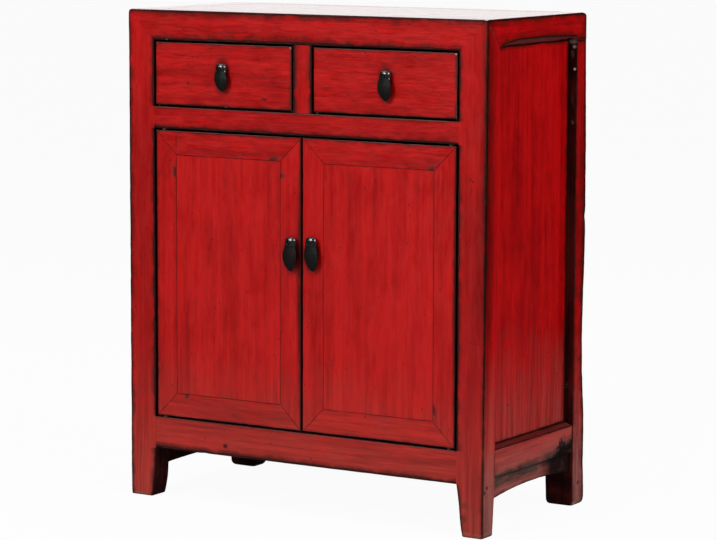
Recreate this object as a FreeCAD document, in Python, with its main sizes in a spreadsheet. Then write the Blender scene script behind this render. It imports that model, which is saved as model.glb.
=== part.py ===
import FreeCAD, Part
import math
import os
import re
import Sketcher

# Kang cabinet: a framed case with two drawers over two doors.
# Millimetres. X runs to the right, Y from the front to the back, Z up.
# The origin is on the floor, under the middle of the whole object.

SIZES = {
    # The case as a whole
    "case_width": 750,
    "case_depth": 366,
    "case_height": 900,
    "rear_lean": 13,
    # Posts and feet
    "post_width": 56,
    "post_depth": 44,
    "rear_post_depth": 36.5,
    "leg_height": 92,
    "left_foot_width": 47.5,
    "left_foot_waist_width": 55,
    "left_foot_depth": 43,
    "right_foot_width": 44,
    "right_foot_waist_width": 50.5,
    "right_foot_depth": 38.5,
    "foot_waist_height": 54,
    # Top frame and top panel
    "top_rail_height": 55,
    "side_rail_height": 49,
    "rail_chamfer_height": 13,
    "top_panel_thickness": 14,
    # Front rails and divider
    "drawer_opening_height": 120.5,
    "drawer_rail_height": 40,
    "bottom_rail_height": 59.5,
    "divider_width": 37,
    # Side rails, panels and aprons
    "side_bottom_rail_height": 50.5,
    "side_ledge_rise": 6,
    "side_rail_depth": 36,
    "panel_inset": 17,
    "panel_thickness": 12,
    "apron_inset": 6,
    "apron_thickness": 12,
    "left_apron_foot_height": 43.5,
    "left_apron_arch_height": 48,
    "right_apron_foot_height": 64,
    "right_apron_arch_height": 73,
    # Rear rails and back panels
    "rear_rail_depth": 30,
    "back_panel_inset": 12,
    # Joinery
    "tenon_length": 22,
    "tenon_setback": 12,
    "tenon_thickness": 12,
    "tenon_shoulder": 8,
    "stub_length": 12,
    "tongue_length": 7,
    "tongue_thickness": 6,
    "tongue_setback": 3,
    "joint_gap": 0.15,
    "running_gap": 0.3,
    # Floor and shelf
    "floor_drop": 4,
    "floor_thickness": 12,
    "shelf_top_height": 420,
    "shelf_thickness": 12,
    "shelf_setback": 30,
    "bearer_width": 20,
    "bearer_height": 22,
    # Runners, guides and stops
    "runner_lap": 24,
    "runner_height": 20,
    "guide_height": 20,
    "drawer_stop_width": 60,
    "drawer_stop_depth": 12,
    "drawer_stop_height": 6,
    "door_stop_width": 120,
    "door_stop_depth": 18,
    "door_stop_drop": 12,
    "door_stop_rise": 8,
    # Drawers
    "front_recess": 1,
    "drawer_gap": 3.5,
    "drawer_head_gap": 3,
    "drawer_front_thickness": 20,
    "drawer_side_thickness": 10,
    "drawer_side_drop": 8,
    "drawer_back_clearance": 31,
    "drawer_bottom_lift": 9,
    "drawer_bottom_thickness": 6,
    "drawer_groove": 5,
    "drawer_housing": 8,
    "drawer_back_drop": 6,
    # Doors
    "door_gap": 4,
    "door_head_gap": 3,
    "door_meeting_gap": 3,
    "door_thickness": 20,
    "stile_width": 44,
    "door_panel_thickness": 12,
    "door_tongue_thickness": 5,
    "door_batten_height": 40,
    "pivot_radius": 5,
    "pivot_clearance": 0.08,
    "pivot_edge": 14,
    "pivot_setback": 9,
    "pivot_reach": 8,
    "pivot_root": 20,
    "pivot_lift": 10,
    # Pulls
    "ring_radius": 5.5,
    "wire_radius": 1.6,
    "ring_standoff": 0.4,
    "shank_radius": 2,
    "clinch_height": 20,
    "clinch_width": 4,
    "clinch_thickness": 2,
    "axle_radius": 2.5,
    "slot_width": 6,
    "slot_clearance": 0.9,
    "knuckle_radius": 6.8,
    "knuckle_spring_drop": 3,
    "shoulder_lap": 2,
    "leaf_edge_thickness": 3,
    "leaf_ridge": 1.5,
    "leaf_lead": 3,
    "drawer_knuckle_width": 20,
    "drawer_knuckle_drop": 10.2,
    "drawer_leaf_width": 26.5,
    "drawer_leaf_belly_drop": 20,
    "drawer_leaf_drop": 42,
    "drawer_pull_rise": 16,
    "left_drawer_pull_shift": 1.5,
    "right_drawer_pull_shift": 6.5,
    "door_knuckle_width": 22,
    "door_knuckle_drop": 13.2,
    "door_leaf_width": 28.5,
    "door_leaf_belly_drop": 24,
    "door_leaf_drop": 51,
    "left_door_pull_rise": 79.5,
    "left_door_pull_shift": 4.5,
    "right_door_pull_rise": 82,
    "right_door_pull_shift": 0.5,
}

# Places worked out from the sizes. Distances called half, inner or outer are from the middle plane.
PLACES = {
    "half_width": "case_width / 2",
    "inner": "half_width - post_width",
    "pull_reach": "2 * (ring_radius + wire_radius) + ring_standoff - front_recess",
    "front": "(pull_reach - case_depth - rear_lean) / 2",
    "behind_posts": "front + post_depth",
    "back": "front + case_depth",
    "heel": "back + rear_lean",
    "rear_posts": "back - rear_post_depth",
    "under_top": "case_height - top_rail_height",
    "under_side_rail": "case_height - side_rail_height",
    "drawer_floor": "under_top - drawer_opening_height",
    "door_head": "drawer_floor - drawer_rail_height",
    "door_sill": "leg_height + bottom_rail_height",
    "side_rail_underside": "door_sill - side_bottom_rail_height",
    "side_ledge": "door_sill + side_ledge_rise",
    "panel_face": "half_width - panel_inset",
    "panel_rear_face": "panel_face - panel_thickness",
    "side_rail_back": "half_width - side_rail_depth",
    "back_panel_face": "back - back_panel_inset - panel_thickness",
    "floor_top": "door_sill - floor_drop",
    "shelf_underside": "shelf_top_height - shelf_thickness",
    "front_face": "front + front_recess",
    "drawer_inner": "divider_width / 2 + drawer_gap",
    "drawer_outer": "inner - drawer_gap",
    "drawer_middle": "(drawer_inner + drawer_outer) / 2",
    "drawer_front_back": "front_face + drawer_front_thickness",
    "drawer_low": "drawer_floor + drawer_head_gap",
    "drawer_high": "under_top - drawer_head_gap",
    "drawer_end": "back_panel_face - drawer_back_clearance",
    "drawer_bottom_low": "drawer_floor + drawer_bottom_lift",
    "drawer_bottom_high": "drawer_bottom_low + drawer_bottom_thickness",
    "drawer_side_high": "drawer_high - drawer_side_drop",
    "drawer_pull_height": "(drawer_low + drawer_high) / 2 + drawer_pull_rise",
    "door_back": "front_face + door_thickness",
    "door_panel_back": "front_face + door_panel_thickness",
    "door_outer": "inner - door_gap",
    "door_meet": "door_meeting_gap / 2",
    "door_low": "door_sill + door_head_gap",
    "door_high": "door_head - door_head_gap",
    "door_middle_height": "(door_low + door_high) / 2",
    "left_door_pull_height": "door_middle_height + left_door_pull_rise",
    "right_door_pull_height": "door_middle_height + right_door_pull_rise",
    "door_pull_middle": "door_meet + stile_width / 2",
    "pivot_middle": "door_outer - pivot_edge",
    "pivot_depth": "front_face + pivot_setback",
    "ring_depth": "front_face - ring_standoff - ring_radius - wire_radius",
    "leaf_rear_face": "ring_depth - leaf_lead + leaf_edge_thickness / 2",
    "leaf_edge_face": "ring_depth - leaf_lead - leaf_edge_thickness / 2",
    "leaf_ridge_face": "leaf_edge_face - leaf_ridge",
}

BOTH_SIDES = (("left", -1), ("right", 1))
PLANES = {
    "XY": ("XY_Plane", "z", False),
    "XZ": ("XZ_Plane", "y", True),
    "YZ": ("YZ_Plane", "x", False),
}
QUARTER_TURN = 90
SKETCH_POINTS = ("edge", "start", "end")
OWN_START = SKETCH_POINTS.index("start")
OWN_END = SKETCH_POINTS.index("end")
UNBOUND = -1

doc = FreeCAD.newDocument("kang_cabinet")
sheet = doc.addObject("Spreadsheet::Sheet", "Sizes")
places = doc.addObject("App::VarSet", "Places")
nodes = {}


def named(expression):
    """Say in an expression which table holds each named size or place."""
    def with_table(match):
        word = match.group(0)
        if word in SIZES:
            return f"Sizes.{word}"
        if word in PLACES:
            return f"Places.{word}"
        return word
    return re.sub(r"[a-z][a-z_]*", with_table, str(expression))


def bind(item, attribute, expression):
    """Let an expression of the sizes drive one property of an object."""
    item.setExpression(attribute, named(expression))


def value(expression):
    """The number that an expression of the sizes gives now."""
    return float(sheet.evalExpression(named(expression)))


def fill_tables():
    """Write the sizes into the sheet, and work the places out from them."""
    for row, (name, size) in enumerate(SIZES.items(), start=1):
        sheet.set(f"A{row}", name)
        sheet.set(f"B{row}", str(size))
        sheet.setAlias(f"B{row}", name)
    doc.recompute()
    for name, expression in PLACES.items():
        places.addProperty("App::PropertyFloat", name, "Places")
        bind(places, name, expression)
    doc.recompute()


# Building blocks

def block(label, span):
    """A rectangular solid between the low and the high end of its span along X, Y and Z."""
    piece = doc.addObject("Part::Box", label)
    for size, axis, (low, high) in zip(("Length", "Width", "Height"), "xyz", span):
        bind(piece, size, f"({high}) - ({low})")
        bind(piece, f"Placement.Base.{axis}", low)
    return piece


def rod(label, axis, radius, low, high, centre):
    """A round rod along one axis, from low to high, about a centre on the other two."""
    turns = {
        "x": FreeCAD.Rotation(FreeCAD.Vector(0, 1, 0), QUARTER_TURN),
        "y": FreeCAD.Rotation(FreeCAD.Vector(1, 0, 0), -QUARTER_TURN),
        "z": FreeCAD.Rotation(),
    }
    piece = doc.addObject("Part::Cylinder", label)
    piece.Placement.Rotation = turns[axis]
    bind(piece, "Radius", radius)
    bind(piece, "Height", f"({high}) - ({low})")
    bind(piece, f"Placement.Base.{axis}", low)
    for other, place in zip("xyz".replace(axis, ""), centre):
        bind(piece, f"Placement.Base.{other}", place)
    return piece


def spot(corner):
    """The present place of an outline's corner, on the sketch's plane."""
    return FreeCAD.Vector(value(corner[0]), value(corner[1]), 0)


def arc_through(start, via, end):
    """The anticlockwise arc through three places, and which of its ends is the start."""
    circle = Part.Arc(start, via, end).toShape().Curve
    centre = circle.Center
    angles = [math.atan2(place.y - centre.y, place.x - centre.x) for place in (start, via, end)]
    turned = (via - start).cross(end - via).z < 0
    first, last = (angles[2], angles[0]) if turned else (angles[0], angles[2])
    while last < first:
        last += math.tau
    arc = Part.ArcOfCircle(Part.Circle(centre, FreeCAD.Vector(0, 0, 1), circle.Radius), first, last)
    ends = (OWN_END, OWN_START) if turned else (OWN_START, OWN_END)
    return arc, ends


def place_point(sketch, geometry, end, corner):
    """Hold one point of a sketch at the place that a corner's expressions give."""
    for kind, expression in zip(("DistanceX", "DistanceY"), corner):
        distance = value(expression)
        number = sketch.addConstraint(
            Sketcher.Constraint(kind, UNBOUND, OWN_START, geometry, end, distance))
        sketch.setExpression(f"Constraints[{number}]", named(expression))


def draw(sketch, corners):
    """Draw a closed outline. A corner with four entries starts an arc past its last two."""
    drawn = []
    for index, corner in enumerate(corners):
        following = corners[(index + 1) % len(corners)]
        if len(corner) == len("xy"):
            line = Part.LineSegment(spot(corner), spot(following))
            ends = (OWN_START, OWN_END)
        else:
            line, ends = arc_through(spot(corner), spot(corner[2:]), spot(following))
        drawn.append((sketch.addGeometry(line, False), ends))
    for index, (line, ends) in enumerate(drawn):
        next_line, next_ends = drawn[(index + 1) % len(drawn)]
        sketch.addConstraint(Sketcher.Constraint("Coincident", line, ends[1], next_line, next_ends[0]))
        place_point(sketch, line, ends[0], corners[index][:2])
    for (line, ends), corner in zip(drawn, corners):
        if len(corner) > len("xy"):
            passed = sketch.addGeometry(Part.Point(spot(corner[2:])), True)
            place_point(sketch, passed, OWN_START, corner[2:])
            sketch.addConstraint(Sketcher.Constraint("PointOnObject", passed, OWN_START, line))


def outline(label, plane, corners, low, high):
    """A solid of a drawn outline, reaching from low to high across the outline's plane."""
    role, across, reversed_pad = PLANES[plane]
    body = doc.addObject("PartDesign::Body", label)
    sketch = body.newObject("Sketcher::SketchObject", f"{label}_outline")
    face = next(item for item in body.Origin.OriginFeatures if item.Role == role)
    sketch.AttachmentSupport = [(face, "")]
    sketch.MapMode = "FlatFace"
    draw(sketch, corners)
    pad = body.newObject("PartDesign::Pad", f"{label}_pad")
    pad.Profile = sketch
    pad.Reversed = reversed_pad
    bind(pad, "Length", f"({high}) - ({low})")
    bind(body, f"Placement.Base.{across}", low)
    return body


def fused(label, pieces):
    """One solid from solids that touch or overlap."""
    whole = doc.addObject("Part::MultiFuse", label)
    whole.Shapes = pieces
    whole.Refine = True
    return whole


def shared(label, first, second):
    """What two solids have in common."""
    whole = doc.addObject("Part::Common", label)
    whole.Base = first
    whole.Tool = second
    whole.Refine = True
    return whole


def cut(label, stock, tools):
    """A solid with the given tools cut out of it."""
    tool = tools[0]
    if len(tools) > 1:
        tool = fused(f"{label}_tools", tools)
    whole = doc.addObject("Part::Cut", label)
    whole.Base = stock
    whole.Tool = tool
    whole.Refine = True
    return whole


def node(name, piece):
    """Keep a finished solid as the sub-part of this name."""
    piece.Label = name
    nodes[name] = piece
    return piece


def grown(span, gap="joint_gap"):
    """A span with a gap added all round, to cut the housing for what fills the span."""
    return [(f"{low} - {gap}", f"{high} + {gap}") for low, high in span]


def housings(label, spans):
    """One cutting block for each span, with the joint's gap all round."""
    return [block(f"{label}_housing_{number}", grown(span)) for number, span in enumerate(spans)]


def at(side, distance):
    """The X place at a distance from the middle plane, to one side."""
    return f"{side} * ({distance})"


def reach(side, near, far):
    """The low and the high X place of what lies between two distances, to one side."""
    return (at(side, near), at(side, far)) if side > 0 else (at(side, far), at(side, near))


def across(distance):
    """The low and the high X place of what lies within a distance of the middle plane."""
    return f"-({distance})", distance


# Spans of the tenons and tongues, used for the piece that has them and for what they enter

def front_tenon(low, high):
    """Tenons of a front rail, which enter both front posts."""
    return [across("inner + tenon_length"),
            ("front + tenon_setback", "front + tenon_setback + tenon_thickness"),
            (f"{low} + tenon_shoulder", f"{high} - tenon_shoulder")]


def rear_tenon(low, high):
    """Tenons of a rear rail, which enter both rear posts or both side rails."""
    return [across("inner + tenon_length"),
            ("rear_posts + tenon_setback", "rear_posts + tenon_setback + tenon_thickness"),
            (f"{low} + tenon_shoulder", f"{high} - tenon_shoulder")]


def side_tenon(side):
    """Tenons of a side bottom rail, which enter a front and a rear post."""
    return [reach(side, "half_width - tenon_setback - tenon_thickness", "half_width - tenon_setback"),
            ("behind_posts - tenon_length", "rear_posts + tenon_length"),
            ("side_rail_underside + tenon_shoulder", "door_sill - tenon_shoulder")]


def post_tenon(side):
    """Tenon on top of a rear post, which enters the side rail over it."""
    return [reach(side, "half_width - tenon_setback - tenon_thickness", "half_width - tenon_setback"),
            ("rear_posts + tenon_setback", "rear_posts + tenon_setback + tenon_thickness"),
            ("under_side_rail", "under_side_rail + tenon_length")]


def divider_tenon():
    """Tenons of the drawer divider, which enter the top rail and the drawer rail."""
    return [across("divider_width / 2 - tenon_shoulder"),
            ("front + tenon_setback", "front + tenon_setback + tenon_thickness"),
            ("drawer_floor - stub_length", "under_top + stub_length")]


def top_tongue():
    """Tongue round the top panel, which enters the four rails of the top frame."""
    return [across("inner + tongue_length"),
            ("behind_posts - tongue_length", "rear_posts + tongue_length"),
            ("case_height - top_panel_thickness",
             "case_height - top_panel_thickness + tongue_thickness")]


def side_tongue(side):
    """Tongue round a side panel, which enters its posts and rails."""
    return [reach(side, "panel_face - tongue_setback - tongue_thickness", "panel_face - tongue_setback"),
            ("behind_posts - tongue_length", "rear_posts + tongue_length"),
            ("side_ledge - tongue_length", "under_side_rail + tongue_length")]


def back_tongue(low, high):
    """Tongue round a back panel, which enters the rear posts and rails."""
    return [across("inner + tongue_length"),
            ("back_panel_face + tongue_setback", "back_panel_face + tongue_setback + tongue_thickness"),
            (f"{low} - tongue_length", f"{high} + tongue_length")]


def floor_spans():
    """The floor panel: its middle between the side rails, and its ends between the posts."""
    level = ("floor_top - floor_thickness", "floor_top")
    return ([across("side_rail_back + tongue_length"),
             ("behind_posts + joint_gap", "rear_posts - joint_gap"), level],
            [across("inner - joint_gap"),
             ("behind_posts - tongue_length", "rear_posts + tongue_length"), level])


def door_tongue(side):
    """Tongue round a door's panel, which enters its stiles and rails."""
    return [reach(side, "door_meet + stile_width - tongue_length",
                  "door_outer - stile_width + tongue_length"),
            ("door_panel_back - door_tongue_thickness", "door_panel_back"),
            ("door_low + stile_width - tongue_length", "door_high - stile_width + tongue_length")]


def drawer_side_span(side, near, far):
    """A drawer's side board, its front end housed in the drawer front."""
    return [reach(side, near, far),
            ("drawer_front_back - drawer_housing", "drawer_end"),
            ("drawer_floor + running_gap", "drawer_side_high")]


def drawer_bottom_span(side):
    """A drawer's bottom, let into its sides and its front."""
    return [reach(side, "drawer_inner + drawer_side_thickness - drawer_groove",
                  "drawer_outer - drawer_side_thickness + drawer_groove"),
            ("drawer_front_back - drawer_groove", "drawer_end"),
            ("drawer_bottom_low", "drawer_bottom_high")]


# The case

def front_post(name, side):
    """A front post, mitred at its head, with a foot that tapers inwards."""
    label = f"post_front_{name}"
    seen_from_front = outline(f"{label}_face", "XZ", [
        (at(side, "half_width"), "0"),
        (at(side, "half_width"), "case_height"),
        (at(side, "inner"), "under_top"),
        (at(side, "inner"), "leg_height",
         at(side, f"half_width - {name}_foot_waist_width"), "foot_waist_height"),
        (at(side, f"half_width - {name}_foot_width"), "0"),
    ], "front", "behind_posts")
    seen_from_side = outline(f"{label}_flank", "YZ", [
        ("front", "0"),
        ("front", "case_height"),
        ("behind_posts", "under_side_rail"),
        ("behind_posts", f"{name}_apron_foot_height"),
        (f"front + {name}_foot_depth", "0"),
    ], *reach(side, "inner", "half_width"))
    stock = shared(f"{label}_stock", seen_from_front, seen_from_side)
    spans = [front_tenon("door_head", "drawer_floor"), front_tenon("leg_height", "door_sill"),
             side_tenon(side), side_tongue(side)]
    node(label, cut(f"{label}_cut", stock, housings(label, spans)))


def rear_post(name, side):
    """A rear post, which leans out at the back and stands under the side rail."""
    label = f"post_rear_{name}"
    seen_from_side = outline(f"{label}_flank", "YZ", [
        ("rear_posts", "0"),
        ("rear_posts", "under_side_rail"),
        ("back", "under_side_rail"),
        ("heel", "0"),
    ], *reach(side, "inner", "half_width"))
    tenon = block(f"{label}_tenon", post_tenon(side))
    stock = fused(f"{label}_stock", [seen_from_side, tenon])
    spans = [rear_tenon("door_head", "drawer_floor"), rear_tenon("side_rail_underside", "door_sill"),
             side_tenon(side), side_tongue(side), back_tongue("door_sill", "door_head"),
             back_tongue("drawer_floor", "under_side_rail")]
    node(label, cut(f"{label}_cut", stock, housings(label, spans)))


def top_front_rail():
    """The front rail of the top, mitred to the posts and to the side rails."""
    label = "top_rail_front"
    seen_from_front = outline(f"{label}_face", "XZ", [
        ("-half_width", "case_height"),
        ("half_width", "case_height"),
        ("inner", "under_top"),
        ("-inner", "under_top"),
    ], "front", "behind_posts")
    seen_from_above = outline(f"{label}_plan", "XY", [
        ("-half_width", "front"),
        ("half_width", "front"),
        ("inner", "behind_posts"),
        ("-inner", "behind_posts"),
    ], "under_top", "case_height")
    stock = shared(f"{label}_stock", seen_from_front, seen_from_above)
    node(label, cut(f"{label}_cut", stock, housings(label, [divider_tenon(), top_tongue()])))


def top_side_rail(name, side):
    """A side rail of the top, chamfered below, mitred in front and lying on the rear post."""
    label = f"top_rail_{name}"
    seen_from_side = outline(f"{label}_flank", "YZ", [
        ("front", "case_height"),
        ("back", "case_height"),
        ("back", "under_side_rail"),
        ("behind_posts", "under_side_rail"),
    ], *reach(side, "inner", "half_width"))
    seen_from_above = outline(f"{label}_plan", "XY", [
        (at(side, "half_width"), "front"),
        (at(side, "half_width"), "back"),
        (at(side, "inner"), "back"),
        (at(side, "inner"), "behind_posts"),
    ], "under_side_rail", "case_height")
    stock = shared(f"{label}_stock", seen_from_side, seen_from_above)
    chamfer = outline(f"{label}_chamfer", "XZ", [
        (at(side, "half_width"), "under_side_rail"),
        (at(side, "half_width"), "under_side_rail + rail_chamfer_height"),
        (at(side, "panel_face"), "under_side_rail"),
    ], "behind_posts", "rear_posts")
    spans = [top_tongue(), side_tongue(side), post_tenon(side),
             rear_tenon("under_side_rail", "case_height"), back_tongue("drawer_floor", "under_side_rail")]
    node(label, cut(f"{label}_cut", stock, [chamfer] + housings(label, spans)))


def tenoned_rail(name, face, tenon, spans, extra=()):
    """A straight rail with tenons at its ends, and housings for what enters it."""
    board = block(f"{name}_board", face)
    stock = fused(f"{name}_stock", [board, block(f"{name}_tenon", tenon)])
    node(name, cut(f"{name}_cut", stock, housings(name, spans) + list(extra)))


def socket(label, side, low, high):
    """The round socket that a door's pivot turns in."""
    return rod(label, "z", "pivot_radius + pivot_clearance", low, high,
               (at(side, "pivot_middle"), "pivot_depth"))


def rails():
    """The straight rails at the front and the back, and the drawer divider."""
    front_depth = ("front", "behind_posts")
    rear_depth = ("rear_posts", "rear_posts + rear_rail_depth")
    width = across("inner")
    upper = [socket(f"upper_socket_{name}", side, "door_head",
                    "door_head + pivot_reach + pivot_lift") for name, side in BOTH_SIDES]
    lower = [socket(f"lower_socket_{name}", side, "door_sill - pivot_reach - running_gap",
                    "door_sill") for name, side in BOTH_SIDES]
    floor_ends = floor_spans()[1]
    tenoned_rail("drawer_rail", [width, front_depth, ("door_head", "drawer_floor")],
                 front_tenon("door_head", "drawer_floor"), [divider_tenon()], upper)
    tenoned_rail("bottom_rail", [width, front_depth, ("leg_height", "door_sill")],
                 front_tenon("leg_height", "door_sill"), [floor_ends], lower)
    tenoned_rail("top_rail_rear", [width, ("rear_posts", "back"), ("under_side_rail", "case_height")],
                 rear_tenon("under_side_rail", "case_height"),
                 [top_tongue(), back_tongue("drawer_floor", "under_side_rail")])
    tenoned_rail("rear_drawer_rail", [width, rear_depth, ("door_head", "drawer_floor")],
                 rear_tenon("door_head", "drawer_floor"),
                 [back_tongue("door_sill", "door_head"), back_tongue("drawer_floor", "under_side_rail")])
    tenoned_rail("rear_bottom_rail", [width, rear_depth, ("side_rail_underside", "door_sill")],
                 rear_tenon("side_rail_underside", "door_sill"),
                 [back_tongue("door_sill", "door_head"), floor_ends])
    divider = block("drawer_divider_board", [across("divider_width / 2"), front_depth,
                                             ("drawer_floor", "under_top")])
    node("drawer_divider", fused("drawer_divider_whole",
                                 [divider, block("drawer_divider_tenon", divider_tenon())]))


def side_bottom_rail(name, side):
    """A side bottom rail, whose top slopes out from the panel as a ledge."""
    label = f"side_bottom_rail_{name}"
    board = outline(f"{label}_board", "XZ", [
        (at(side, "half_width"), "side_rail_underside"),
        (at(side, "half_width"), "door_sill"),
        (at(side, "panel_face"), "side_ledge"),
        (at(side, "side_rail_back"), "side_ledge"),
        (at(side, "side_rail_back"), "side_rail_underside"),
    ], "behind_posts", "rear_posts")
    stock = fused(f"{label}_stock", [board, block(f"{label}_tenon", side_tenon(side))])
    spans = [side_tongue(side), floor_spans()[0]]
    node(label, cut(f"{label}_cut", stock, housings(label, spans)))


def side_apron(name, side):
    """The arched board between the feet, under the side bottom rail; the left one hangs lower."""
    foot, arch = f"{name}_apron_foot_height", f"{name}_apron_arch_height"
    node(f"side_apron_{name}", outline(f"side_apron_{name}_board", "YZ", [
        ("behind_posts", "side_rail_underside"),
        ("rear_posts", "side_rail_underside"),
        ("rear_posts", foot, "(behind_posts + rear_posts) / 2", arch),
        ("behind_posts", foot),
    ], *reach(side, "half_width - apron_inset - apron_thickness", "half_width - apron_inset")))


def tongued_panel(name, face, tongue):
    """A panel with a thinner tongue all round."""
    board = block(f"{name}_board", face)
    node(name, fused(f"{name}_whole", [board, block(f"{name}_tongue", tongue)]))


def panels():
    """The top, side and back panels, each loose in its grooves."""
    tongued_panel("top_panel", [across("inner"), ("behind_posts", "rear_posts"),
                                ("case_height - top_panel_thickness", "case_height")], top_tongue())
    for name, side in BOTH_SIDES:
        tongued_panel(f"side_panel_{name}", [reach(side, "panel_rear_face", "panel_face"),
                                             ("behind_posts", "rear_posts"),
                                             ("side_ledge", "under_side_rail")], side_tongue(side))
    for name, low, high in (("lower", "door_sill", "door_head"),
                            ("upper", "drawer_floor", "under_side_rail")):
        tongued_panel(f"back_panel_{name}", [across("inner"),
                                             ("back_panel_face", "back_panel_face + panel_thickness"),
                                             (low, high)], back_tongue(low, high))


def floor_and_shelf():
    """The floor in its grooves, and the shelf on its two bearers."""
    middle, ends = floor_spans()
    node("floor_panel", fused("floor_panel_whole",
                              [block("floor_middle", middle), block("floor_ends", ends)]))
    level = ("shelf_underside", "shelf_top_height")
    shelf_middle = block("shelf_middle", [across("panel_rear_face - joint_gap"),
                                          ("behind_posts + joint_gap", "rear_posts - joint_gap"), level])
    shelf_ends = block("shelf_ends", [across("inner - joint_gap"),
                                      ("front + shelf_setback", "back_panel_face - joint_gap"), level])
    node("shelf", fused("shelf_whole", [shelf_middle, shelf_ends]))
    bearers = [block(f"shelf_bearer_{name}", [
        reach(side, "panel_rear_face - bearer_width", "panel_rear_face"),
        ("behind_posts", "rear_posts"),
        ("shelf_underside - bearer_height", "shelf_underside")]) for name, side in BOTH_SIDES]
    node("shelf_bearers", fused("shelf_bearers_pair", bearers))


def drawer_ways():
    """The runners under the drawers, the guides beside them, and the stops."""
    depth = ("behind_posts", "rear_posts")
    runner_level = ("drawer_floor - runner_height", "drawer_floor")
    guide_level = ("drawer_floor", "drawer_floor + guide_height")
    runners = [block(f"runner_{name}", [reach(side, "inner - runner_lap", "side_rail_back"), depth,
                                        runner_level]) for name, side in BOTH_SIDES]
    guides = [block(f"guide_{name}", [reach(side, "drawer_outer + running_gap", "side_rail_back"), depth,
                                      guide_level]) for name, side in BOTH_SIDES]
    runners.append(block("runner_centre", [across("divider_width / 2 + runner_lap"), depth, runner_level]))
    guides.append(block("guide_centre", [across("drawer_inner - running_gap"), depth, guide_level]))
    node("drawer_runners", fused("drawer_runners_set", runners))
    node("drawer_guides", fused("drawer_guides_set", guides))
    stops = [block(f"drawer_stop_{name}", [
        reach(side, "drawer_middle - drawer_stop_width / 2", "drawer_middle + drawer_stop_width / 2"),
        ("drawer_front_back + running_gap", "drawer_front_back + running_gap + drawer_stop_depth"),
        ("drawer_floor", "drawer_floor + drawer_stop_height")]) for name, side in BOTH_SIDES]
    node("drawer_stops", fused("drawer_stops_pair", stops))
    stop_depth = ("door_back + running_gap", "door_back + running_gap + door_stop_depth")
    width = across("door_stop_width / 2")
    door_stops = [block("door_stop_upper", [width, stop_depth, ("door_head - door_stop_drop", "door_head")]),
                  block("door_stop_lower", [width, stop_depth, ("door_sill", "door_sill + door_stop_rise")])]
    node("door_stops", fused("door_stops_pair", door_stops))


# Doors, drawers and pulls

def pull_hole(label, middle, height, far):
    """The hole that a pull's shank passes through."""
    return rod(label, "y", "shank_radius + joint_gap", "ring_depth", far, (middle, height))


def pull_pin(label, middle, height, inside):
    """A ring on a shank that passes through the board, its two ends bent flat inside."""
    ring = doc.addObject("Part::Torus", f"{label}_ring")
    ring.Placement.Rotation = FreeCAD.Rotation(FreeCAD.Vector(0, 1, 0), QUARTER_TURN)
    bind(ring, "Radius1", "ring_radius")
    bind(ring, "Radius2", "wire_radius")
    for axis, place in zip("xyz", (middle, "ring_depth", height)):
        bind(ring, f"Placement.Base.{axis}", place)
    shank = rod(f"{label}_shank", "y", "shank_radius", "ring_depth + ring_radius", inside, (middle, height))
    clinch = block(f"{label}_clinch", [
        (f"{middle} - clinch_width / 2", f"{middle} + clinch_width / 2"),
        (inside, f"{inside} + clinch_thickness"),
        (f"{height} - clinch_height / 2", f"{height} + clinch_height / 2")])
    node(label, fused(f"{label}_whole", [ring, shank, clinch]))


def pull_pendant(label, middle, height, kind):
    """A leaf, ridged down its front, standing a little before the slotted knuckle that hangs in the ring."""
    side, belly = f"{kind}_knuckle_width / 2", f"{kind}_leaf_width / 2"
    spring, foot = f"{height} - knuckle_spring_drop", f"{height} - {kind}_knuckle_drop"
    shoulder = f"{foot} + shoulder_lap"
    belly_height = f"{height} - {kind}_leaf_belly_drop"
    knuckle_face = outline(f"{label}_knuckle_face", "XZ", [
        (f"{middle} - {side}", foot),
        (f"{middle} + {side}", foot),
        (f"{middle} + {side}", spring, middle, f"{height} + knuckle_radius"),
        (f"{middle} - {side}", spring),
    ], "ring_depth - knuckle_radius", "ring_depth + knuckle_radius")
    knuckle_flank = outline(f"{label}_knuckle_flank", "YZ", [
        ("ring_depth + knuckle_radius", height, "ring_depth", f"{height} + knuckle_radius"),
        ("ring_depth - knuckle_radius", height),
        ("leaf_ridge_face", foot),
        ("leaf_rear_face", foot),
    ], f"{middle} - {side}", f"{middle} + {side}")
    knuckle = shared(f"{label}_knuckle", knuckle_face, knuckle_flank)
    leaf = outline(f"{label}_leaf", "XZ", [
        (f"{middle} - {side}", shoulder),
        (f"{middle} + {side}", shoulder, f"{middle} + {belly}", belly_height),
        (middle, f"{height} - {kind}_leaf_drop", f"{middle} - {belly}", belly_height),
    ], "leaf_ridge_face", "leaf_rear_face")
    section = outline(f"{label}_section", "XY", [
        (f"{middle} - {kind}_leaf_width", "leaf_rear_face"),
        (f"{middle} + {kind}_leaf_width", "leaf_rear_face"),
        (f"{middle} + {belly}", "leaf_edge_face"),
        (middle, "leaf_ridge_face"),
        (f"{middle} - {belly}", "leaf_edge_face"),
    ], f"{height} - {kind}_leaf_drop", height)
    ridged = shared(f"{label}_ridged", leaf, section)
    slot = rod(f"{label}_slot", "x", "ring_radius + wire_radius + slot_clearance",
               f"{middle} - slot_width / 2", f"{middle} + slot_width / 2", ("ring_depth", height))
    slotted = cut(f"{label}_slotted", fused(f"{label}_stock", [knuckle, ridged]), [slot])
    axle = rod(f"{label}_axle", "x", "axle_radius", f"{middle} - slot_width", f"{middle} + slot_width",
               ("ring_depth", f"{height} - (ring_radius - wire_radius - running_gap - axle_radius)"))
    node(label, fused(f"{label}_whole", [slotted, axle]))


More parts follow.
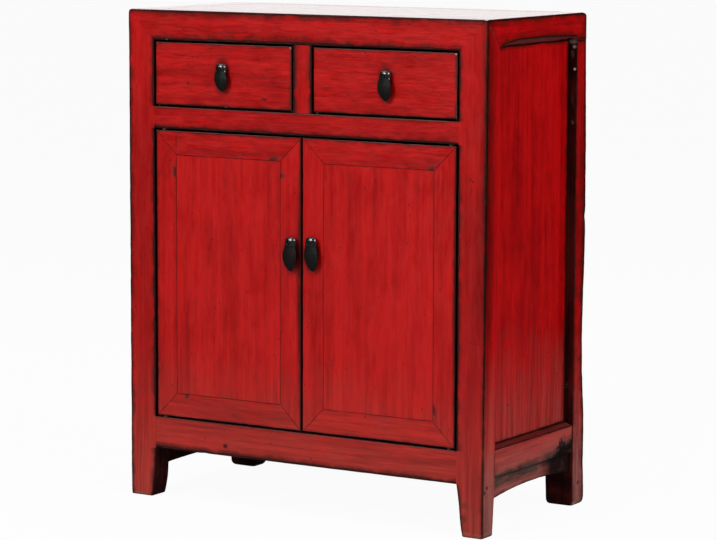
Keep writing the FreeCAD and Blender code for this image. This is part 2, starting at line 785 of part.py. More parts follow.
def door(name, side):
    """A door: four mitred frame pieces round a flush panel, a batten, pivots and a pull."""
    label = f"door_{name}"
    depth = ("front_face", "door_back")
    outer, meet = at(side, "door_outer"), at(side, "door_meet")
    outer_inside = at(side, "door_outer - stile_width")
    meet_inside = at(side, "door_meet + stile_width")
    low_inside, high_inside = "door_low + stile_width", "door_high - stile_width"
    pin_middle = f"{at(side, 'door_pull_middle')} + {name}_door_pull_shift"
    pin_height = f"{name}_door_pull_height"
    pivot_centre = (at(side, "pivot_middle"), "pivot_depth")
    frame_pieces = {
        "hinge_stile": [(outer, "door_low"), (outer, "door_high"), (outer_inside, high_inside),
                        (outer_inside, low_inside)],
        "meeting_stile": [(meet, "door_low"), (meet, "door_high"), (meet_inside, high_inside),
                          (meet_inside, low_inside)],
        "top_rail": [(outer, "door_high"), (meet, "door_high"), (meet_inside, high_inside),
                     (outer_inside, high_inside)],
        "bottom_rail": [(outer, "door_low"), (meet, "door_low"), (meet_inside, low_inside),
                        (outer_inside, low_inside)],
    }
    pivots = {"top_rail": ("door_high - pivot_root", "door_head + pivot_reach"),
              "bottom_rail": ("door_sill - pivot_reach", "door_low + pivot_root")}
    for piece, corners in frame_pieces.items():
        piece_label = f"{label}_{piece}"
        stock = outline(f"{piece_label}_board", "XZ", corners, *depth)
        tools = housings(piece_label, [door_tongue(side)])
        if piece == "meeting_stile":
            tools.append(pull_hole(f"{piece_label}_pull_hole", pin_middle, pin_height, "door_back"))
        if piece in pivots:
            low, high = pivots[piece]
            tools.append(rod(f"{piece_label}_pivot_hole", "z", "pivot_radius + joint_gap",
                             low, high, pivot_centre))
        whole = cut(f"{piece_label}_cut", stock, tools)
        if piece == "hinge_stile":
            dowels = [rod(f"{label}_pivot_{end}", "z", "pivot_radius", low, high, pivot_centre)
                      for end, (low, high) in pivots.items()]
            whole = fused(f"{piece_label}_whole", [whole] + dowels)
        node(piece_label, whole)
    tongued_panel(f"{label}_panel", [reach(side, "door_meet + stile_width", "door_outer - stile_width"),
                                     ("front_face", "door_panel_back"), (low_inside, high_inside)],
                  door_tongue(side))
    node(f"{label}_batten", block(f"{label}_batten_board", [
        reach(side, "door_meet + stile_width", "door_outer - stile_width"),
        ("door_panel_back", "door_back"),
        ("door_middle_height - door_batten_height / 2", "door_middle_height + door_batten_height / 2")]))
    pull_pin(f"{label}_pull_pin", pin_middle, pin_height, "door_back")
    pull_pendant(f"{label}_pull_pendant", pin_middle, pin_height, "door")


def drawer(name, side):
    """A drawer: a thick front, two sides, a back, a bottom and a pull."""
    label = f"drawer_{name}"
    middle = f"{at(side, 'drawer_middle')} + {name}_drawer_pull_shift"
    boards = {"inner_side": drawer_side_span(side, "drawer_inner", "drawer_inner + drawer_side_thickness"),
              "outer_side": drawer_side_span(side, "drawer_outer - drawer_side_thickness", "drawer_outer")}
    bottom = drawer_bottom_span(side)
    front = block(f"{label}_front_board", [reach(side, "drawer_inner", "drawer_outer"),
                                           ("front_face", "drawer_front_back"),
                                           ("drawer_low", "drawer_high")])
    tools = housings(f"{label}_front", list(boards.values()) + [bottom])
    tools.append(pull_hole(f"{label}_pull_hole", middle, "drawer_pull_height", "drawer_front_back"))
    node(f"{label}_front", cut(f"{label}_front_cut", front, tools))
    for board, span in boards.items():
        stock = block(f"{label}_{board}_board", span)
        node(f"{label}_{board}", cut(f"{label}_{board}_cut", stock, housings(f"{label}_{board}", [bottom])))
    node(f"{label}_back", block(f"{label}_back_board", [
        reach(side, "drawer_inner + drawer_side_thickness", "drawer_outer - drawer_side_thickness"),
        ("drawer_end - drawer_side_thickness", "drawer_end"),
        ("drawer_bottom_high", "drawer_side_high - drawer_back_drop")]))
    node(f"{label}_bottom", block(f"{label}_bottom_board", bottom))
    pull_pin(f"{label}_pull_pin", middle, "drawer_pull_height", "drawer_front_back")
    pull_pendant(f"{label}_pull_pendant", middle, "drawer_pull_height", "drawer")


def check_and_write():
    """Stop if any object failed, and write one file for each sub-part."""
    doc.recompute()
    for item in doc.Objects:
        if {"Invalid", "Error"} & set(item.State):
            raise RuntimeError(f"{item.Label} did not build: {item.State}")
    for name, piece in nodes.items():
        if piece.Shape.isNull() or not piece.Shape.isValid() or not piece.Shape.Solids:
            raise RuntimeError(f"{name} is not a valid solid")
    os.makedirs("parts", exist_ok=True)
    for name, piece in nodes.items():
        piece.Shape.exportStep(f"parts/{name}.step")
    print(len(nodes), "sub-parts written")


fill_tables()
for side_name, side_sign in BOTH_SIDES:
    front_post(side_name, side_sign)
    rear_post(side_name, side_sign)
    top_side_rail(side_name, side_sign)
    side_bottom_rail(side_name, side_sign)
    side_apron(side_name, side_sign)
    door(side_name, side_sign)
    drawer(side_name, side_sign)
top_front_rail()
rails()
panels()
floor_and_shelf()
drawer_ways()
check_and_write()
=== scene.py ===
import bpy, bmesh, math
from mathutils import Vector, Matrix, noise


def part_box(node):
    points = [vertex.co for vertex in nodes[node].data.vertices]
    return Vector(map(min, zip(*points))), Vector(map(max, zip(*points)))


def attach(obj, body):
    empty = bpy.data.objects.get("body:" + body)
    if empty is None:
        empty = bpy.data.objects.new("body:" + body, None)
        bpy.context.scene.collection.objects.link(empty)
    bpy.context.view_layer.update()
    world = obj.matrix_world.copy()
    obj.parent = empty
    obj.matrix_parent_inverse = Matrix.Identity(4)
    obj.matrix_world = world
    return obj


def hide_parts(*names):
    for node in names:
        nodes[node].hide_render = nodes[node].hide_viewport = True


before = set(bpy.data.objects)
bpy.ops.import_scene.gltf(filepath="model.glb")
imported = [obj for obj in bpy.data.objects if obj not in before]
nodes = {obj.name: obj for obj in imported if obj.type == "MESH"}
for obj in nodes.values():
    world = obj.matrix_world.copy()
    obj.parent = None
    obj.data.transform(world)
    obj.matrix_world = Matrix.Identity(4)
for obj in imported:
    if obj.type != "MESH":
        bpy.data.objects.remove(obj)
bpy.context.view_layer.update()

# The case in millimetres: across, from front to back, and up
HALF, INNER, PANEL = 375.0, 319.0, 358.0
FRONT, BEHIND, REAR, BACK = -182.7, -138.7, 146.8, 183.3
FACE = FRONT + 1.0
TOP, UNDER_TOP, UNDER_SIDE = 900.0, 845.0, 851.0
DRAWER_FLOOR, DOOR_HEAD, DOOR_SILL, LEG, SIDE_LEG, LEDGE = 724.5, 684.5, 151.5, 92.0, 101.0, 157.5
MM = 0.001

# Longest stretch of a board between two rows of points, in millimetres
STEP = 11.0
# The shade of black stain; a face whose shade is below PAINTED gets the stain's own material
SOOT, PAINTED = -1.0, -0.97
UP, DOWN, REARWARD = (0, 0, 1), (0, 0, -1), (0, 1, 0)
WHITE = (1, 1, 1)


def placed(name, data):
    """A new object in the scene."""
    obj = bpy.data.objects.new(name, data)
    bpy.context.scene.collection.objects.link(obj)
    return obj


def circle(count):
    """Cosine and sine of each of the even steps round a turn."""
    return [(math.cos(math.tau * j / count), math.sin(math.tau * j / count)) for j in range(count)]


def skin(bm, rows):
    """Faces between rows of points that run round a solid, and one over each end."""
    count = len(rows[0])
    for a, b in zip(rows, rows[1:]):
        for j in range(count):
            bm.faces.new((a[j], a[(j + 1) % count], b[(j + 1) % count], b[j]))
    bm.faces.new(list(reversed(rows[0])))
    bm.faces.new(rows[-1])
    bmesh.ops.recalc_face_normals(bm, faces=bm.faces)


# Boards with worn arrises

def unit(v):
    return v / v.length if v.length > 1e-9 else Vector((0, 0, 0))


def section(corners, radii, darks, counts, inset=0.0):
    """Points round a board's section: five at each arris and a few along each face.

    Each is (point, distance from the arris, darkness of its edge, place round the section).
    """
    n = len(corners)
    if inset:
        moved = []
        for i, c in enumerate(corners):
            moved.append(c + inset * (unit(corners[i - 1] - c) + unit(corners[(i + 1) % n] - c)))
        corners = moved
    points = []
    for i, c in enumerate(corners):
        before, after = corners[i - 1], corners[(i + 1) % n]
        u, v = unit(before - c), unit(after - c)
        length = (after - c).length
        r = min(radii[i], 0.4 * (before - c).length, 0.4 * length)
        for k in range(5):
            t = k / 4
            side = darks[i][0] if k < 2 else darks[i][1] if k > 2 else max(darks[i])
            points.append((c + r * ((1 - t) ** 2 * u + t ** 2 * v), 0.8 * r * abs(2 * t - 1), side, i))
        near = min(radii[(i + 1) % n], 0.4 * length)
        for k in range(counts[i]):
            t = (k + 1) / (counts[i] + 1)
            d = r + t * (length - r - near)
            share = d / max(length, 1e-6)
            dark = darks[i][1] + (darks[(i + 1) % n][0] - darks[i][1]) * share
            points.append((c + d * v, min(d, length - d), dark, i + share))
    return points


def plane_of(corners):
    """The plane that an end's corners lie nearest to."""
    a, b, c, d = corners[0], corners[1], corners[2], corners[-1]
    normal = unit((c - a).cross(d - b))
    middle = sum(corners, Vector()) / len(corners)
    return middle, normal


def board(name, body, rings, radius=1.2, dark=1.0, ends=((0.5, 0.2), (0.5, 0.2)), grain="z", tone=0.5,
          shades=(), wave=0.35, material="lacquer", slot="red_lacquer", glossy_top=False, reach=(0.0, 0.0), flank=0):
    """A board lofted through rings of corners, in millimetres, worn along its arrises.

    A ring is (corners, radii, darks), or (corners,) where radius and dark hold for the whole board.
    A dark may be a pair, for the faces before and after its corner; below 0 the line is a pale painted highlight
    instead.
    ends gives each end's rounding and the darkness of its joint, which may be one value per corner.
    shades are (direction, limit, amount): below 0 towards black stain, above 0 towards bare wood.
    reach lengthens the ends into a mitred neighbour; flank is the side whose face has the side's lacquer.
    """
    seed = Vector([(hash_of(name + k) % 1000) * 0.37 for k in "abc"])
    full = []
    for ring in rings:
        corners = [Vector(c) for c in ring[0]]
        radii, darks = ring[1:] or (radius, dark)
        radii = list(radii) if isinstance(radii, (list, tuple)) else [radii] * len(corners)
        darks = list(darks) if isinstance(darks, (list, tuple)) else [darks] * len(corners)
        darks = [d if isinstance(d, (list, tuple)) else (d, d) for d in darks]
        full.append((corners, radii, darks))
    for end, beside, more in ((0, 1, reach[0]), (-1, -2, reach[1])):
        if more:
            along = unit(sum((a - b for a, b in zip(full[end][0], full[beside][0])), Vector()))
            full[end] = ([c + more * along for c in full[end][0]],) + full[end][1:]
    n = len(full[0][0])
    counts = []
    for i in range(n):
        longest = max((r[0][(i + 1) % n] - r[0][i]).length for r in full)
        counts.append(max(1, int(round(longest / 20.0))))
    planes = plane_of(full[0][0]), plane_of(full[-1][0])
    round_0, round_1 = ends[0][0], ends[1][0]

    def places(length, rounding):
        """Distances from an end at which it is rounded, and a few just past it."""
        turns = (0.134, 0.5, 1.0) if rounding > 1.0 else (1.0,)
        return [d for d in [rounding * t for t in turns] + [rounding + 3.0, rounding + 6.0] if d < 0.45 * length]

    def pulled_in(d, rounding):
        return rounding * (1 - math.sqrt(max(0.0, 1 - (1 - d / rounding) ** 2))) if d < rounding else 0.0

    # Sections along the board, closer together where an end is rounded
    stations = []
    for k in range(len(full) - 1):
        (c0, r0, d0), (c1, r1, d1) = full[k], full[k + 1]
        length = max((b - a).length for a, b in zip(c0, c1))
        parts = max(1, int(math.ceil(length / STEP)))
        last = k == len(full) - 2
        ts = [j / parts for j in range(parts + (1 if last else 0))]
        ts += [d / length for d in places(length, round_0)] if k == 0 else []
        ts += [1 - d / length for d in places(length, round_1)] if last else []
        for t in sorted(set(round(t, 6) for t in ts)):
            inset = 0.0
            if k == 0:
                inset = pulled_in(t * length, round_0)
            if last:
                inset = max(inset, pulled_in((1 - t) * length, round_1))
            stations.append(([a.lerp(b, t) for a, b in zip(c0, c1)],
                             [a + (b - a) * t for a, b in zip(r0, r1)],
                             [(a[0] + (b[0] - a[0]) * t, a[1] + (b[1] - a[1]) * t) for a, b in zip(d0, d1)],
                             inset))
    # The points of each section, with the arrises' rounding uneven and nicked in places
    bm = bmesh.new()
    origin = bm.verts.layers.int.new("origin")
    rim_data, verts = [], []
    for corners, radii, darks, inset in stations:
        middle = sum(corners, Vector()) / n
        worn = []
        for i, r in enumerate(radii):
            where = middle * 0.035 + seed + Vector((i * 7.3, 0, 0))
            bump = noise.noise(where) * 0.45 + noise.noise(where * 4.1) * 0.3
            nick = max(0.0, noise.noise(where * 1.7 + Vector((31, 7, 3))) - 0.42) * 5.0
            worn.append(r * (1.0 + bump + nick))
        row = []
        for point, rim, dk, place in section(corners, worn, darks, counts, inset):
            row.append(bm.verts.new(point * MM))
            row[-1][origin] = len(rim_data)
            rim_data.append((rim, dk, place))
        verts.append(row)
    m = len(verts[0])
    skin(bm, verts)
    bm.normal_update()
    flat = [v for row in verts for v in row]
    normals = [v.normal.copy() for v in flat]
    jointed = set()
    for first, beside, rounding in ((0, m, round_0), (len(flat) - m, len(flat) - 2 * m, round_1)):
        if rounding < 0.1:
            normals[first:first + m] = normals[beside:beside + m]
            jointed.update(range(first, first + m))
    # Waves in the faces
    for v, nrm in zip(flat, normals):
        p = v.co.copy()
        swell = 0.55 * noise.noise(p * 9.0) + 0.3 * noise.noise(p * 31.0) + 0.15 * noise.noise(p * 80.0 + seed)
        v.co = p - nrm * (wave * MM * (0.5 + 0.5 * swell))
    # The end faces get edges of their own; those of a close joint keep the colour of the faces beside them
    rims = {e for f in bm.faces if len(f.verts) > 4 for e in f.edges}
    bmesh.ops.split_edges(bm, edges=list(rims))
    bm.normal_update()
    bm.verts.index_update()
    normals = [v.normal.copy() for v in bm.verts]
    clean = [v[origin] in jointed and any(len(f.verts) > 4 for f in v.link_faces) for v in bm.verts]
    rim_data = [rim_data[v[origin]] for v in bm.verts]
    mesh = bpy.data.meshes.new(name + "_board")
    bm.to_mesh(mesh)
    bm.free()
    axes = {"x": (Vector((1, 0, 0)), Vector((0, 1, 0)), Vector((0, 0, 1))),
            "y": (Vector((0, 1, 0)), Vector((1, 0, 0)), Vector((0, 0, 1))),
            "z": (Vector((0, 0, 1)), Vector((1, 0, 0)), Vector((0, 1, 0)))}[grain]
    # What the materials read: the place along and across the grain; the distance from the arris, its darkness
    # and the shade; the distance from the nearer end, the darkness of its joint and the board's tone
    bco, arris, tip = [mesh.attributes.new(key, "FLOAT_VECTOR", "POINT") for key in ("bco", "arris", "tip")]
    shaded = []
    for i, v in enumerate(mesh.vertices):
        p = v.co
        bco.data[i].vector = Vector([p.dot(a) for a in axes]) + seed * 0.1
        rim, dk, place = rim_data[i]
        shade = 0.0
        for direction, limit, amount in shades:
            if normals[i].dot(Vector(direction)) > limit and not clean[i]:
                shade = amount
        shaded.append(shade)
        arris.data[i].vector = (rim * MM, dk, shade)
        q = p / MM
        d0 = abs((q - planes[0][0]).dot(planes[0][1]))
        d1 = abs((q - planes[1][0]).dot(planes[1][1]))
        joint = ends[0][1] if d0 < d1 else ends[1][1]
        if isinstance(joint, (list, tuple)):
            low = int(place)
            joint = joint[low] + (joint[(low + 1) % n] - joint[low]) * (place - low)
        tip.data[i].vector = (min(d0, d1) * MM, joint, tone)
    obj = placed(name + "_worn", mesh)
    for key in (material, "black", "top" if glossy_top else "side"):
        mesh.materials.append(materials[key])
    for f in mesh.polygons:
        f.use_smooth = True
        if sum(shaded[i] for i in f.vertices) / len(f.vertices) < PAINTED:
            f.material_index = 1
        if glossy_top and f.normal.z > 0.9 or flank and f.normal.x * flank > 0.75:
            f.material_index = 2
    weighted = obj.modifiers.new("flat faces", "WEIGHTED_NORMAL")
    weighted.mode = "FACE_AREA"
    weighted.weight = 80
    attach(obj, body)
    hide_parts(name)


def hash_of(text):
    """A whole number that depends on the text alone, for the seeds of the grain."""
    value = 17
    for ch in text:
        value = (value * 31 + ord(ch)) % 1000003
    return value


# Node materials

class Tree:
    """The nodes of one material or world, with short names for those in use."""

    def __init__(self, owner):
        owner.use_nodes = True
        self.owner = owner
        self.nodes, self.links = owner.node_tree.nodes, owner.node_tree.links
        self.nodes.clear()

    def put(self, socket, value):
        """Link or set an input."""
        if isinstance(value, bpy.types.NodeSocket):
            self.links.new(value, socket)
        elif isinstance(value, (tuple, list)) and len(value) == 3 and socket.type == "RGBA":
            socket.default_value = (*value, 1.0)
        else:
            socket.default_value = value

    def add(self, kind, inputs=None, **settings):
        """A new node with its settings and inputs."""
        node = self.nodes.new("ShaderNode" + kind)
        for key, value in settings.items():
            setattr(node, key, value)
        for key, value in (inputs or {}).items():
            self.put(node.inputs[key], value)
        return node

    def attribute(self, name):
        return self.add("Attribute", attribute_name=name).outputs["Vector"]

    def position(self):
        return self.add("TexCoord").outputs["Object"]

    def parts(self, vector):
        return self.add("SeparateXYZ", {0: vector}).outputs

    def scaled(self, vector, scale, shift):
        scale = scale if isinstance(scale, tuple) else (scale,) * 3
        return self.add("Mapping", {"Vector": vector, "Scale": scale, "Location": shift}).outputs[0]

    def noise(self, vector, scale, detail=3.0, rough=0.5, distort=0.0, shift=(0, 0, 0)):
        return self.add("TexNoise", {"Vector": self.scaled(vector, scale, shift), "Scale": 1.0, "Detail": detail,
                                     "Roughness": rough, "Distortion": distort}).outputs["Fac"]

    def cells(self, vector, scale, shift=(0, 0, 0)):
        """The distance to the nearest of many scattered points."""
        return self.add("TexVoronoi", {"Vector": self.scaled(vector, scale, shift), "Scale": 1.0}).outputs["Distance"]

    def spot(self, vector, centre, reach):
        """1 at a place in millimetres, falling to 0 at its reach along each axis."""
        scale = tuple(1 / (r * MM) for r in reach)
        shift = tuple(-c * MM * k for c, k in zip(centre, scale))
        far = self.add("VectorMath", {0: self.scaled(vector, scale, shift)}, operation="LENGTH").outputs["Value"]
        return self.fall(far, 0.35, 1.0)

    def math(self, op, a, b=0.0, clamp=False):
        return self.add("Math", {0: a, 1: b}, operation=op, use_clamp=clamp).outputs[0]

    def plus(self, a, b, **options):
        return self.math("ADD", a, b, **options)

    def minus(self, a, b, **options):
        return self.math("SUBTRACT", a, b, **options)

    def times(self, a, b, **options):
        return self.math("MULTIPLY", a, b, **options)

    def vary(self, value, pattern, amount):
        """A value raised and lowered by up to half an amount, as a pattern of 0 to 1 says."""
        return self.plus(value, self.times(self.minus(pattern, 0.5), amount))

    def span(self, value, low, high, to_low=0.0, to_high=1.0, **settings):
        """A value carried from one range over to another, and kept in it."""
        return self.add("MapRange", {"Value": value, "From Min": low, "From Max": high, "To Min": to_low,
                                     "To Max": to_high}, clamp=True, **settings).outputs[0]

    def fall(self, value, low, high):
        """1 below a range, falling to 0 above it."""
        return self.span(value, low, high, 1.0, 0.0)

    def mix(self, factor, a, b, blend="MIX"):
        node = self.add("Mix", {"Factor": factor}, data_type="RGBA", blend_type=blend)
        for socket, colour in zip([s for s in node.inputs if s.type == "RGBA"], (a, b)):
            self.put(socket, colour)
        return [s for s in node.outputs if s.type == "RGBA"][0]

    def dimmed(self, colour, value):
        """A colour times a value."""
        grey = self.add("CombineColor", dict.fromkeys(range(3), value)).outputs[0]
        return self.mix(1.0, colour, grey, "MULTIPLY")

    def ramp(self, factor, stops):
        node = self.add("ValToRGB", {0: factor})
        ramp = node.color_ramp
        while len(ramp.elements) < len(stops):
            ramp.elements.new(0.5)
        for element, (place, colour) in zip(ramp.elements, stops):
            element.position = place
            element.color = (*colour, 1.0)
        return node.outputs[0]

    def bump(self, height, strength, distance, below=None):
        node = self.add("Bump", {"Strength": strength, "Distance": distance, "Height": height})
        if below is not None:
            self.put(node.inputs["Normal"], below)
        return node.outputs[0]

    def finish(self, colour, roughness, normal, **constants):
        """Close a material with its shader."""
        inputs = {"Base Color": colour, "Roughness": roughness, "Normal": normal}
        inputs.update((key.replace("_", " "), value) for key, value in constants.items())
        self.add("OutputMaterial", {"Surface": self.add("BsdfPrincipled", inputs).outputs[0]})
        return self.owner


def material_tree(name):
    return Tree(bpy.data.materials.new(name))


# Colours of the lacquer's wear and dirt, of its painted highlights and of a painted shadow; a pair is mixed by a
# pattern
OPEN_GRAIN, SPECK, CHIP = (0.085, 0.003, 0.003), (0.045, 0.004, 0.005), (0.42, 0.33, 0.24)
LINE, BAND = ((0.022, 0.0016, 0.0010), (0.046, 0.0055, 0.0030)), (0.075, 0.004, 0.002)
CORE_HIGHLIGHT, ARRIS_HIGHLIGHT = (0.070, 0.036, 0.028), (0.25, 0.135, 0.112)
DIRT, DAMP = ((0.18, 0.068, 0.060), (0.33, 0.120, 0.106)), ((0.008, 0.006, 0.005), (0.060, 0.042, 0.032))
REAR_SHADOW, DUSTY, SOOTY = (0.006, 0.004, 0.0035), (0.14, 0.055, 0.052), ((0.0055, 0.0035, 0.0035), (0.026, 0.008, 0.007))
# The dark line along the arrises, in metres: its least and greatest width, and how softly the line, the line at
# an end and the band beside it fade; the pale core and line, both painted highlights, reach from full to none
# between two distances
LINE_WIDTHS, LINE_FADE, END_FADE, BAND_FADE = (0.0016, 0.0038), 0.0016, 0.0012, 0.007
CORE_REACH, HIGHLIGHT_REACH = (0.0002, 0.0011), (0.0006, 0.0014)


def lacquer(name, deep, middle, bright, faded_and_floor_reflection=(0.40, 0.046, 0.030), fade_top=0.28, coat=0.14, rough=0.36,
            relief=1.0, grimy_and_rear_shadow=False, figure=1.0, specular=0.22):
    """Old red lacquer over wood: streaked, mottled, worn dark along the arrises, paler near the floor.

    deep, middle and bright are its colours; faded is the one near the floor, partly bleached, dusty lacquer and
    partly a painted reflection of the floor, and it ends at the height fade_top. coat and specular set its gloss,
    rough how blurred that is, relief the depth of its bumps, figure the contrast of its grain; grimy adds the dirt
    and damp of the object's sides and a painted shadow near the rear posts.
    """
    t = material_tree(name)
    grain, place = t.attribute("bco"), t.position()
    arris, tip, xyz = t.parts(t.attribute("arris")), t.parts(t.attribute("tip")), t.parts(place)
    streak = t.noise(grain, (5.0, 120.0, 120.0), 5.0, 0.62, 0.4)
    fibre = t.noise(grain, (22.0, 620.0, 620.0), 3.0, 0.6)
    mottle = t.noise(place, 13.0, 3.0, 0.55, 0.6)
    blotch = t.noise(grain, (26.0, 75.0, 75.0), 4.0, 0.6, 0.8)
    broad = t.noise(grain, (2.2, 42.0, 42.0), 3.0, 0.55, 0.3, (6, 4, 8))
    body = t.plus(t.times(streak, 0.40), t.times(mottle, 0.24))
    body = t.plus(body, t.times(blotch, 0.22))
    body = t.plus(body, t.times(t.minus(broad, 0.22), 0.50))
    body = t.vary(body, tip[2], 0.30)
    colour = t.ramp(body, [(0.34, deep), (0.50, middle), (0.66, bright)])
    fine = t.span(fibre, 0.30, 0.62, 1 - 0.10 * figure, 1 + 0.03 * figure)
    colour = t.dimmed(colour, fine)
    dash = t.noise(grain, (34.0, 300.0, 300.0), 3.0, 0.6, 0.2, (2, 9, 5))
    colour = t.dimmed(colour, t.span(dash, 0.36, 0.60, 1 - 0.11 * figure, 1 + 0.04 * figure))
    # Thin dark streaks, where the grain opens
    crack = t.noise(grain, (9.0, 240.0, 240.0), 4.0, 0.7, 0.3, (3, 5, 1))
    colour = t.mix(t.span(crack, 0.62, 0.74, 0.0, 0.42 * figure), colour, OPEN_GRAIN)
    # Paler near the floor: bleached, dusty lacquer together with a painted reflection of the floor
    low = t.vary(xyz[2], mottle, 0.16)
    low = t.vary(low, blotch, 0.10)
    low = t.span(low, 0.02, fade_top, 0.80, 0.0)
    colour = t.mix(low, colour, t.mix(t.span(streak, 0.4, 0.6), tuple(0.55 * c for c in faded_and_floor_reflection), faded_and_floor_reflection))
    if grimy_and_rear_shadow:
        dust = t.vary(xyz[2], blotch, 0.06)
        dust = t.span(dust, 0.06, 0.17, 0.75, 0.0)
        colour = t.mix(dust, colour, t.mix(t.span(streak, 0.4, 0.6), *DIRT))
    # Specks and wormholes
    far = t.cells(place, 95.0)
    sparse = t.noise(place, 34.0, 2.0, 0.5, 0.0, (9, 2, 4))
    speck = t.times(t.fall(far, 0.10, 0.20), t.span(sparse, 0.56, 0.64))
    colour = t.mix(t.times(speck, 0.85), colour, SPECK)
    # Dark line along the arrises, with a softer band beside it and a paler core, which is a painted highlight
    uneven = t.noise(grain, (34.0, 24.0, 24.0), 3.0, 0.6, 0.0, (1, 7, 2))
    spread = t.span(uneven, 0.30, 0.70, *LINE_WIDTHS)
    width = t.times(t.math("ABSOLUTE", arris[1]), spread)
    width_end = t.times(t.math("ABSOLUTE", tip[1]), spread)

    def inked(fade, fade_end, wider=1.0):
        """How dark it is within a line's width of an arris or an end."""
        along = t.math("DIVIDE", t.minus(t.times(width, wider), arris[0]), fade, clamp=True)
        across = t.math("DIVIDE", t.minus(t.times(width_end, wider), tip[0]), fade_end, clamp=True)
        return t.math("MAXIMUM", along, across)

    colour = t.mix(t.times(inked(BAND_FADE, BAND_FADE, 2.6), 0.62), colour, BAND)
    colour = t.mix(t.times(inked(LINE_FADE, END_FADE), 0.95), colour, t.mix(t.span(uneven, 0.45, 0.62), *LINE))
    core_highlight = t.times(t.fall(arris[0], *CORE_REACH), t.span(sparse, 0.44, 0.60))
    core_highlight = t.times(core_highlight, arris[1], clamp=True)
    colour = t.mix(t.times(core_highlight, 0.25), colour, CORE_HIGHLIGHT)
    # Pale line along the arrises and ends whose darkness is below 0: a painted highlight
    pale, pale_end = [t.times(t.fall(near[0], *HIGHLIGHT_REACH), t.times(near[1], -1.0, clamp=True))
                      for near in (arris, tip)]
    pale = t.times(t.math("MAXIMUM", pale, pale_end), t.span(uneven, 0.36, 0.56, 0.30, 1.0))
    colour = t.mix(t.times(pale, 0.85), colour, ARRIS_HIGHLIGHT)
    # Chips down to the ground coat
    chip_far = t.cells(place, 60.0, (4, 1, 8))
    chip = t.times(t.fall(chip_far, 0.14, 0.19), t.span(sparse, 0.63, 0.66))
    chip = t.times(chip, t.fall(arris[0], 0.001, 0.005))
    chip = t.times(chip, t.times(arris[1], 1.0, clamp=True))
    colour = t.mix(chip, colour, CHIP)
    # Marks of single boards, among them the grime, painted shade and painted shadows behind the pulls, and places
    # that are darker as a whole
    for centre, reach, mark, amount in MARKS:
        at = t.times(t.spot(place, centre, reach), t.span(blotch, 0.30, 0.55, 0.55, 1.0))
        colour = t.mix(t.times(at, amount), colour, mark)
    for centre, reach, tint in SHADES:
        colour = t.mix(t.spot(place, centre, reach), colour, tint, "MULTIPLY")
    if grimy_and_rear_shadow:
        # Damp stains along the foot of the bottom rail and the head of the apron
        foot = t.vary(xyz[2], mottle, 0.035)
        foot = t.minus(foot, t.times(t.span(xyz[1], -0.04, 0.16), 0.020))
        damp = t.times(t.span(foot, 0.080, 0.090), t.fall(foot, 0.106, 0.122))
        damp = t.times(damp, t.span(blotch, 0.36, 0.52, 0.35, 1.0))
        between = t.times(t.span(xyz[1], -0.140, -0.1385), t.fall(xyz[1], 0.147, 0.1475))
        damp = t.times(damp, between)
        stain = t.mix(t.span(mottle, 0.40, 0.58), *DAMP)
        colour = t.mix(t.times(damp, 0.90), colour, stain)
        # Painted shadow in near black on them towards the rear post
        rear_shadow = t.vary(xyz[2], mottle, 0.07)
        rear_shadow = t.vary(rear_shadow, blotch, 0.05)
        grit = t.noise(place, 240.0, 2.0, 0.6, 0.0, (5, 2, 7))
        rear_shadow = t.vary(rear_shadow, grit, 0.040)
        rear_shadow = t.minus(rear_shadow, t.span(xyz[1], 0.070, 0.147, 0.0, 0.012))
        rear_shadow = t.times(t.fall(rear_shadow, 0.112, 0.120), t.span(xyz[1], 0.030, 0.075))
        rear_shadow = t.times(t.times(rear_shadow, between), t.span(blotch, 0.30, 0.48, 0.85, 1.0))
        colour = t.mix(t.times(rear_shadow, 0.97), colour, REAR_SHADOW)
    # Dust on the chamfer, which has the shade -0.2
    dusty = t.times(t.math("ABSOLUTE", t.plus(arris[2], 0.2)), 9.0)
    dusty = t.minus(0.75, dusty, clamp=True)
    colour = t.mix(dusty, colour, DUSTY)
    # Stained black inside the openings and underneath, bare wood behind
    soot = t.times(arris[2], -1.0, clamp=True)
    colour = t.mix(soot, colour, t.mix(t.span(blotch, 0.35, 0.7), *SOOTY))
    bare = t.times(arris[2], 1.0, clamp=True)
    raw = t.ramp(streak, [(0.35, (0.045, 0.018, 0.010)), (0.5, (0.11, 0.045, 0.022)), (0.68, (0.19, 0.085, 0.042))])
    colour = t.mix(bare, colour, raw)
    roughness = t.span(blotch, 0.3, 0.7, rough - 0.07, rough + 0.12)
    roughness = t.plus(roughness, t.times(low, 0.20))
    roughness = t.plus(roughness, t.times(t.math("MAXIMUM", soot, bare), 0.30), clamp=True)
    height = t.plus(t.times(fibre, 0.35), t.times(streak, 0.65))
    height = t.minus(height, t.times(t.math("MAXIMUM", speck, chip), 1.5))
    normal = t.bump(height, 0.35 * relief, 0.0006, t.bump(blotch, 0.30 * relief, 0.0016))
    return t.finish(colour, roughness, normal, Coat_Weight=coat, Coat_Roughness=0.15, IOR=1.5,
                    Specular_IOR_Level=specular)


